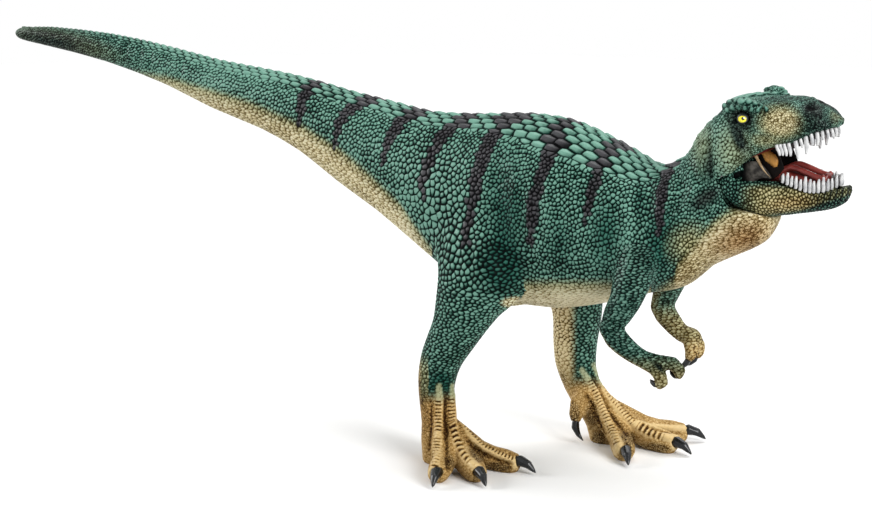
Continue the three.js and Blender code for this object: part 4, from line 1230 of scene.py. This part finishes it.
def fromShape(name, shape, material):
    mesh = bpy.data.meshes.new(name)
    shape.to_mesh(mesh)
    shape.free()
    mesh.materials.append(material)
    made = bpy.data.objects.new(name, mesh)
    bpy.context.collection.objects.link(made)
    return made


# The place in a plane of given y that the photograph shows at a pixel
def fromPhoto(u, v, y):
    corner = np.array(camera["target"]) + backward * camera["distance"]
    scale = camera["pixelsPerMm"] * camera["distance"]
    ray = rightward * (u - camera["frameWidth"] / 2) - upward * (v - camera["frameHeight"] / 2)
    ray = ray - backward * scale
    return corner + ray * ((y - corner[1]) / ray[1])


def joined(name, parts, material):
    shape = bmesh.new()
    for part in parts:
        shape.from_mesh(part.data)
        bpy.data.objects.remove(part)
    return fromShape(name, shape, material)


# Curved teeth along a lip: (place across the photograph in pixels, length, lean forward)
teeth = {
    "upper": {
        "lip": [
            (94.2, -7.2, 84.6), (97.6, -6.4, 85.3), (100.8, -5.7, 86.9),
            (103.5, -4.3, 88.5), (106.3, 0.0, 89.3),
        ],
        "rows": [
            (777, 1.9, 0.8), (780.5, 2.0, 0.7), (784.5, 2.2, 0.6), (789, 2.4, 0.5), (796, 3.4, 0.6),
            (801, 1.5, 0.3), (806, 3.5, 0.2), (811.5, 2.2, 0.3), (817, 2.9, 0.2), (822, 2.0, 0.2),
            (827, 2.0, 0.2), (831.5, 1.9, 0.2), (835.5, 2.1, 0.1), (839, 2.3, 0.0),
        ],
        "radius": 0.29,
        "back": 0.5,
    },
    "lower": {
        "lip": [
            (94.8, -5.4, 76.9), (97.8, -4.9, 75.8), (101.3, -4.4, 74.9),
            (105.0, -3.5, 75.3), (108.0, 0.0, 76.6),
        ],
        "rows": [
            (783, 1.6, 0.1), (787.5, 2.3, 0.1), (791.5, 1.9, 0.2), (796, 2.3, 0.1), (800.5, 2.0, 0.1),
            (805.5, 3.0, 0.0), (810, 2.6, 0.1), (814, 2.2, 0.0), (818.5, 2.6, 0.1), (823.5, 2.9, 0.0),
            (828, 2.2, 0.0), (832, 2.0, -0.1), (836.5, 2.3, -0.1), (841, 2.1, -0.1),
        ],
        "radius": 0.27,
        "back": -0.3,
    },
}


def addTeeth(name, sign, body, node, material, gumAndGapShade):
    row = teeth[name]
    lip = np.array(row["lip"])
    share = np.linspace(0.0, 1.0, len(lip))
    fine = np.linspace(0.0, 1.0, 60)
    curve = np.stack([curveThrough(share, lip[:, axis], fine) for axis in range(3)], 1)
    run = np.concatenate([[0.0], np.cumsum(np.linalg.norm(np.diff(curve, axis=0), axis=1))])
    run /= run[-1]
    acrossPhoto = inPhoto(curve)[:, 0]
    parts = []
    for side in (-1.0, 1.0):
        for spot, length, lean in row["rows"]:
            along = np.interp(spot, acrossPhoto, run)
            base = np.array([np.interp(along, run, curve[:, axis]) for axis in range(3)])
            base[1] *= -side
            outward = np.array((0.35 * smooth(along, 0.6, 1.0), side * 0.02 * abs(base[1]), 0.0))
            tip = base + np.array((lean, 0.0, sign * length)) + outward * 0.6
            root = base - np.array((0.15, 0.0, sign * 0.6))
            middle = (base * 0.45 + tip * 0.55) + np.array((0.22 + 0.1 * lean, 0.0, 0.0)) * row["back"]
            radius = row["radius"] + 0.065 * length
            widths = (radius * 0.85, radius, radius * 0.95, radius * 0.5)
            parts.append(swept("tooth", [root, base, middle, tip], widths, widths, material, 12, 14))
    # A near-black gum behind the teeth: the gum, and painted shade in the gaps between the teeth
    around = np.concatenate([curve[:-1], curve[::-1] * (1, -1, 1)])[::6]
    gum = around * (1.0, 0.9, 1.0) + np.array((-0.35, 0.0, sign * 0.3))
    band = swept(name + "_gum", gum, (0.8, 0.9, 0.8), (0.26, 0.3, 0.26), gumAndGapShade, 12, 90, (0, 0, 1))
    piece = joined(name + "_tooth_row", parts, material)
    for made in (piece, band):
        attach(made, body)
        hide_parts(node)


def toothMaterial():
    made, wire = newMaterial("toothPaint")
    spot = wire.make("ShaderNodeTexCoord", output=3)
    grain = wire.make("ShaderNodeTexNoise", {"Vector": spot, "Scale": 700.0, "Detail": 2.0})
    colour = grain.ramp(0.3, 0.7).blend(paint(172, 173, 175), paint(212, 212, 211))
    finishMaterial(wire, {"Base Color": colour, "Roughness": 0.32})
    return made


# The lower jaw's skin, on the jaw's own body
jaw = {
    "cell": 0.2,
    "rounds": 14,
    "pitch": 0.78,
    "lipPitch": 0.58,
    "height": 0.16,
    "growth": 0.02,
    # The lip dips between its rear and its front, in figure millimetres
    "dip": {"middle": 101.3, "reach": 3.4, "depth": 0.35},
    "lipFront": {"from": 104.5, "to": 108.0, "rise": 0.4},
    "lipHeights": (72.0, 75.0),
    # Places in the photograph, in its pixels
    "lipColumns": (790, 830),
    "frontColumns": (800, 835),
    "middleColumns": (735, 765),
    "middleTop": (182, 192),
    "rim": [(735, 208), (760, 218), (800, 212), (850, 196)],
    "barColumns": (805, 815),
    "barBottom": (203, 209),
    "barSpacing": 5.6,
}


def addJaw():
    points, faces = wrapped(["lower_jaw"], jaw["cell"], jaw["growth"])
    edges = edgesOf(faces)
    points = softened(points, edges, np.full(len(points), 0.5), jaw["rounds"])
    dip, front = jaw["dip"], jaw["lipFront"]
    dipped = dip["depth"] * np.exp(-((points[:, 0] - dip["middle"]) / dip["reach"]) ** 2)
    raised = front["rise"] * smooth(points[:, 0], front["from"], front["to"])
    points[:, 2] += smooth(points[:, 2], *jaw["lipHeights"]) * (raised - dipped)
    normals = normalsOf(points, faces)
    px = inPhoto(points)
    pitch = np.full(len(points), jaw["pitch"])
    u, v = px.T
    lip = smooth(u, *jaw["lipColumns"])
    pitch += (jaw["lipPitch"] - pitch) * lip
    way = np.zeros_like(points)
    way[:, 2] = 1.0
    way = unit(way - normals * normals[:, 2:])
    ratio = 1.15 + 0.5 * lip
    seeds = scatter(points, pitch, way, ratio)
    nearest, offset, groove = nearestScale(points, seeds, way, ratio)
    rise = np.clip(groove / (0.38 * pitch), 0.0, 1.0)
    # Painted highlight on the upper side of each jaw scale and painted shade on its lower rim; the same
    # values also raise the scales
    above = np.clip(offset @ paintedLightWay / (0.5 * pitch), -1.0, 1.0)
    relief = smooth(rise, 0.0, 0.7) * 0.7 + 0.2 * smooth(rise, 0.4, 0.9) + 0.3 * above
    outside = smooth(normals @ np.array((0.3, 0.0, -0.5)) + np.abs(normals[:, 1]) * 0.9, 0.0, 0.3)
    outside[np.sign(points[:, 1]) * normals[:, 1] < -0.1] = 0.0
    points = points + normals * (jaw["height"] * (relief - 0.5) * outside)[:, None]
    columns, heights = np.array(jaw["rim"], float).T
    rim = np.interp(u, columns, heights)
    middle = smooth(u, *jaw["middleColumns"]) * smooth(v, *jaw["middleTop"])
    middle = middle * (1.0 - smooth(v, rim - 5.0, rim + 1.0))
    front = smooth(u, *jaw["frontColumns"])
    bar = smooth(np.cos(2 * math.pi * (u + 0.25 * v) / jaw["barSpacing"]), 0.1, 0.9)
    bar = bar * smooth(u, *jaw["barColumns"]) * (1.0 - smooth(v, *jaw["barBottom"]))
    layers = {
        "relief": relief,
        "cell": random.random(len(seeds))[nearest],
        "stripe": np.zeros(len(points)),
        "deepGreenAndShade": np.clip(0.5 - middle, 0.0, 1.0) * (1.0 - front) * 0.6,
        "olive": np.clip(middle * 1.1, 0.0, 1.0) * (1.0 - 0.25 * front),
        "cream": 0.1 * middle * (1.0 - front),
        "ochre": np.clip(0.5 * region(px, "jawWarm"), 0.0, 1.0),
        "tan": np.zeros(len(points)),
        "dark": np.clip(0.35 * front + 0.6 * bar + 0.7 * region(px, "jawDark"), 0.0, 1.0),
        "bead": np.full(len(points), 0.35),
        # A lighter patch on the jaw: painted highlight with light drybrushing
        "dryBrushAndLight": 0.1 * region(px, "jawDryBrushAndLight"),
    }
    normals = normalsOf(points, faces)
    piece = cutPiece("lower_jaw_skin", points, faces, normals, layers, skinMaterial(), slice(None))
    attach(piece, "jaw")
    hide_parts("lower_jaw")
    print("jaw", len(piece.data.polygons))


def plainMaterial(name, low, high, rough, scale=400.0, bump=0.0, coat=0.0, shine=0.4):
    made, wire = newMaterial(name)
    spot = wire.make("ShaderNodeTexCoord", output=3)
    grain = wire.make("ShaderNodeTexNoise", {"Vector": spot, "Scale": scale, "Detail": 4.0})
    colour = grain.ramp(0.32, 0.68).blend(paint(*low), paint(*high))
    inputs = {"Base Color": colour, "Roughness": grain * 0.12 + (rough - 0.06), "Coat Weight": coat}
    inputs["Specular IOR Level"] = shine
    if bump:
        height = {"Strength": 0.6, "Distance": bump * mm, "Height": grain}
        inputs["Normal"] = wire.make("ShaderNodeBump", height)
    finishMaterial(wire, inputs)
    return made


# Eyeballs: lids round an almond opening, a yellow iris, a black pupil and a glint, which is a painted
# highlight. Pupil and glint are given as place forward, place upward and half width, in mm
eye = {
    "rings": 40,
    "sides": 48,
    "openingWidth": 1.05,
    "openingHeight": 0.82,
    "lidRise": 0.16,
    "pupil": (0.22, 0.18, 0.42),
    "glint": (0.42, 0.36, 0.16),
    "ahead": 0.28,
    "up": 0.12,
}


def eyeMaterial():
    made, wire = newMaterial("paintedEye")
    lid = wire.attribute("lid").ramp(0.3, 0.6)
    pupil = wire.attribute("pupil").ramp(1.08, 0.92)
    glint = wire.attribute("glint").ramp(1.1, 0.9)
    colour = wire.attribute("lid").ramp(0.0, 0.4).blend(paint(240, 232, 50), paint(150, 140, 20))
    colour = pupil.blend(colour, paint(6, 6, 6))
    # The glint: a painted highlight
    colour = glint.blend(colour, paint(252, 252, 252))
    colour = lid.blend(colour, paint(8, 14, 12))
    finishMaterial(wire, {"Base Color": colour, "Roughness": lid * 0.35 + 0.14, "Coat Weight": 0.25})
    return made


def addEye(node, side, material):
    low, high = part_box(node)
    centre = np.array((low + high) / 2) / mm - rump
    radius = float(max(high - low)) / mm / 2
    gaze = unit(np.array([(eye["ahead"], side, eye["up"])]))[0]
    across = unit(np.cross(gaze, (0.0, 0.0, side))[None])[0] * -1.0
    above = np.cross(across, gaze) * (1.0 if np.cross(across, gaze)[2] > 0 else -1.0)
    forward = across * (1.0 if across[0] > 0 else -1.0)
    tilt = np.linspace(0.0, math.pi, eye["rings"] + 2)[1:-1]
    turn = np.linspace(0.0, 2 * math.pi, eye["sides"], endpoint=False)
    aim = np.cos(tilt)[:, None, None] * gaze
    swing = np.cos(turn)[None, :, None] * forward + np.sin(turn)[None, :, None] * above
    spots = aim + np.sin(tilt)[:, None, None] * swing
    x = (spots @ forward) * radius
    y = (spots @ above) * radius
    almond = np.hypot(x / eye["openingWidth"], y / eye["openingHeight"])
    lid = np.where(spots @ gaze > 0, smooth(almond, 0.9, 1.15), 1.0)
    rings = centre + spots * (radius * (1.0 + eye["lidRise"] / radius * (lid - 1.0)))[:, :, None]
    piece = fromRings(node + "_ball", rings, centre + gaze * radius * 0.93, centre - gaze * radius, material)
    layers = {"lid": (lid, 0.0)}
    for name, front in (("pupil", 0.7), ("glint", 3.0)):
        forth, up, half = eye[name]
        layers[name] = (np.hypot(x - forth, y - up) / half, front)
    for layer, (values, front) in layers.items():
        held = piece.data.attributes.new(layer, "FLOAT", "POINT")
        held.data.foreach_set("value", np.concatenate([values.ravel(), (front, 1.0)]))
    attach(piece, "figure")
    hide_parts(node)


# Claws: the CAD horns, made smooth and glossy
claw = {"cell": 0.15, "growth": 0.02, "rounds": 10}


def addClaws(material):
    for node in sorted(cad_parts):
        if "claw" not in node:
            continue
        points, faces = wrapped([node], claw["cell"], claw["growth"])
        points = softened(points, edgesOf(faces), np.full(len(points), 0.5), claw["rounds"])
        points[:, 2] = np.maximum(points[:, 2], soleGap)
        normals = normalsOf(points, faces)
        piece = cutPiece(node + "_horn", points, faces, normals, {}, material, slice(None))
        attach(piece, "figure")
        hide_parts(node)


# The open mouth. Each part is swept along a line that is given in the photograph's pixels, on a plane
# so many mm aside of the middle, with half widths and half heights in mm; only the throat's line is
# given in figure millimetres. The web at the corner of the jaws is black behind, as painted shade far back
# in the mouth, and grey ahead. The throat and the thin near-black sheets at each side are painted shade too.
mouth = {
    "tongue": {
        "line": [(772, 179), (785, 175.5), (800, 176), (815, 180), (826, 179), (829, 174)],
        "aside": 0.0,
        "widths": (2.2, 2.9, 2.9, 2.5, 2.1, 1.1),
        "heights": (1.2, 1.5, 1.2, 0.9, 0.8, 0.6),
        "sides": 32,
        "steps": 60,
    },
    "ridge": {
        "line": [
            (775, 175), (782, 170.5), (791, 167.5), (800, 170),
            (809, 174), (816, 177.5), (821, 178.5), (824.5, 176),
        ],
        "aside": 2.1,
        "widths": (0.5, 0.7, 0.75, 0.7, 0.65, 0.65, 0.6, 0.4),
        "heights": (0.5, 0.7, 0.75, 0.7, 0.7, 0.8, 0.8, 0.5),
        "sides": 20,
        "steps": 60,
    },
    "throat": {
        "line": [(84.0, 0.0, 82.4), (86.5, 0.0, 82.2), (89.0, 0.0, 82.4), (91.5, 0.0, 82.6)],
        "widths": (3.2, 3.4, 3.0, 1.2),
        "heights": (2.2, 2.1, 2.0, 1.4),
        "sides": 32,
        "steps": 24,
    },
    "shadeLining": {
        "line": [(748, 172), (756, 170), (764, 167.5), (770, 165), (776, 162.5), (781.5, 160.5)],
        "aside": 3.9,
        "widths": (0.1, 0.15, 0.15, 0.15, 0.15, 0.1),
        "heights": (1.2, 2.3, 3.2, 3.2, 2.7, 1.9),
        "sides": 24,
        "steps": 30,
    },
    "rearMuscle": {
        "line": [(763, 150), (767, 154), (769.5, 159), (770.5, 163)],
        "aside": 4.62,
        "widths": (0.6, 0.75, 0.7, 0.3),
        "heights": (0.8, 1.15, 1.1, 0.45),
        "sides": 24,
        "steps": 40,
    },
    "tendon": {
        "line": [(755, 154), (759, 162), (764, 170), (771, 178)],
        "aside": 4.8,
        "widths": (0.4, 0.32, 0.26, 0.1),
        "heights": (0.44, 0.32, 0.26, 0.1),
        "sides": 16,
        "steps": 30,
    },
    "web": {
        "line": [(731, 177), (740, 175.5), (749, 172.5), (757, 171), (765, 174), (771, 178)],
        "aside": 4.8,
        "widths": (0.12, 0.2, 0.2, 0.2, 0.2, 0.1),
        "heights": (1.0, 1.9, 2.4, 2.2, 1.1, 0.2),
        "sides": 24,
        "steps": 40,
    },
    "shadeBehind": (85.5, 87.5),
}
mouth["frontMuscle"] = dict(mouth["rearMuscle"], line=[(769, 154), (772, 158), (774, 162.5), (775.5, 167)])


def webMaterial():
    made, wire = newMaterial("membranePaint")
    spot = wire.make("ShaderNodeTexCoord", output=3)
    ahead = wire.make("ShaderNodeSeparateXYZ", {0: spot})
    grain = wire.make("ShaderNodeTexNoise", {"Vector": spot, "Scale": 900.0, "Detail": 4.0})
    # Black behind: painted shade far back in the mouth
    low, high = [float(place((x, 0.0, 0.0))[0]) for x in mouth["shadeBehind"]]
    colour = grain.ramp(0.32, 0.68).blend(paint(48, 46, 44), paint(104, 100, 94))
    colour = ahead.ramp(low, high).blend(paint(4, 5, 5), colour)
    normal = wire.make("ShaderNodeBump", {"Strength": 0.6, "Distance": 0.0001, "Height": grain})
    inputs = {"Base Color": colour, "Roughness": grain * 0.12 + 0.54, "Normal": normal}
    inputs["Specular IOR Level"] = 0.1
    finishMaterial(wire, inputs)
    return made


# A soft part of the mouth, swept along its line; side is -1 on the right and 1 on the left
def softPart(name, part, material, side=-1.0):
    line = part["line"]
    if "aside" in part:
        line = [fromPhoto(u, v, -part["aside"]) * (1.0, -side, 1.0) for u, v in line]
    return swept(name, line, part["widths"], part["heights"], material, part["sides"], part["steps"])


def addMouth():
    red = plainMaterial("tonguePaint", (98, 34, 31), (154, 68, 60), 0.36, 250.0, 0.15)
    flesh = plainMaterial("musclePaint", (132, 84, 24), (190, 136, 60), 0.5, 500.0, 0.2)
    pale = plainMaterial("tendonPaint", (150, 122, 84), (204, 178, 138), 0.5, 600.0, 0.1)
    grey = webMaterial()
    # Near-black paint for the throat and the thin sheets at each side: painted shade inside the mouth
    black = plainMaterial("throatShadePaint", (8, 6, 5), (22, 15, 12), 0.7, shine=0.1)
    parts = [softPart("tongue_body", mouth["tongue"], red)]
    parts += [softPart("ridge", mouth["ridge"], red, side) for side in (-1.0, 1.0)]
    tongue = joined("tongue_flesh", parts, red)
    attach(tongue, "jaw")
    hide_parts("tongue")
    throat = softPart("throat", mouth["throat"], black)
    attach(throat, "figure")
    for side, word in ((-1.0, "right"), (1.0, "left")):
        lumps = [softPart("lump", mouth[name], flesh, side) for name in ("rearMuscle", "frontMuscle")]
        pieces = [
            softPart(word + "_jaw_lining", mouth["shadeLining"], black, side),
            joined(word + "_jaw_muscle", lumps, flesh),
            softPart(word + "_jaw_tendon", mouth["tendon"], pale, side),
            softPart(word + "_jaw_web", mouth["web"], grey, side),
        ]
        for piece in pieces:
            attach(piece, "figure")


# 1 for rays that come straight from the camera or by way of a mirror or glass
def shown(wire):
    rays = [wire.make("ShaderNodeLightPath", output=name) for name in ("Is Camera Ray", "Is Glossy Ray")]
    return (rays[0] + rays[1] + wire.make("ShaderNodeLightPath", output="Is Transmission Ray")).clamped()


# A round white floor, with its half width in metres
stage = {"reach": 0.52, "corners": 96}


def addStage():
    shape = bmesh.new()
    bmesh.ops.create_circle(shape, cap_ends=True, segments=stage["corners"], radius=stage["reach"])
    made, wire = newMaterial("whiteFloor")
    spot = wire.make("ShaderNodeTexCoord", output=3)
    cloud = wire.make("ShaderNodeTexNoise", {"Vector": spot, "Scale": 3.0, "Detail": 1.0})
    colour = (shown(wire) + cloud * 0.02).clamped().blend(paint(204, 204, 204), paint(252, 252, 252))
    finishMaterial(wire, {"Base Color": colour, "Roughness": 0.7, "Specular IOR Level": 0.1})
    floor = fromShape("floor", shape, made)
    world = bpy.data.worlds.new("studio")
    bpy.context.scene.world = world
    world.use_nodes = True
    tree = world.node_tree
    tree.nodes.clear()
    wire = Wire(tree)
    strength = shown(wire) * 0.8 + 0.2
    background = wire.make("ShaderNodeBackground", {"Color": (1.0, 1.0, 1.0, 1.0), "Strength": strength})
    wire.make("ShaderNodeOutputWorld", {"Surface": background})


# Soft lamps: place in figure millimetres, the point looked at, size in metres, power in watts
lamps = {
    "right": ((760.0, -300.0, 420.0), (0.0, 0.0, 50.0), 0.45, 7.6),
    "left": ((-780.0, -340.0, 380.0), (0.0, 0.0, 50.0), 0.50, 6.6),
    "top": ((40.0, 560.0, 1420.0), (40.0, 0.0, 0.0), 1.10, 14.2),
}


def addLamps():
    for name, (spot, aim, size, power) in lamps.items():
        data = bpy.data.lights.new(name, "AREA")
        data.size = size
        data.energy = power
        lamp = bpy.data.objects.new(name, data)
        lamp.location = place(spot)
        lamp.rotation_mode = "QUATERNION"
        lamp.rotation_quaternion = (place(aim) - place(spot)).to_track_quat("-Z", "Y")
        bpy.context.collection.objects.link(lamp)


addSkin()
print("skin done")
addJaw()
whiteTooth = toothMaterial()
gumAndGapShade = plainMaterial("gumAndGapShade", (10, 6, 5), (34, 18, 16), 0.5, 300.0, 0.1)
addTeeth("upper", -1.0, "figure", "upper_teeth", whiteTooth, gumAndGapShade)
addTeeth("lower", 1.0, "jaw", "lower_teeth", whiteTooth, gumAndGapShade)
print("teeth done")
paintedEye = eyeMaterial()
addEye("right_eye", -1.0, paintedEye)
addEye("left_eye", 1.0, paintedEye)
print("eyes done")
addClaws(plainMaterial("clawGloss", (5, 6, 7), (24, 26, 28), 0.27, 350.0, 0.03, 0.12, 0.3))
print("claws done")
addMouth()
roof = plainMaterial("palatePaint", (80, 26, 22), (128, 50, 44), 0.42, 300.0, 0.15)
steel = plainMaterial("pinMetal", (120, 120, 122), (160, 160, 162), 0.4)
for node, material in (("palate", roof), ("jaw_pin", steel)):
    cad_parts[node].data.materials.clear()
    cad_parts[node].data.materials.append(material)
print("mouth done")
addStage()
addLamps()
makeCamera()
bpy.context.scene.view_settings.view_transform = "Standard"
print("stage done")
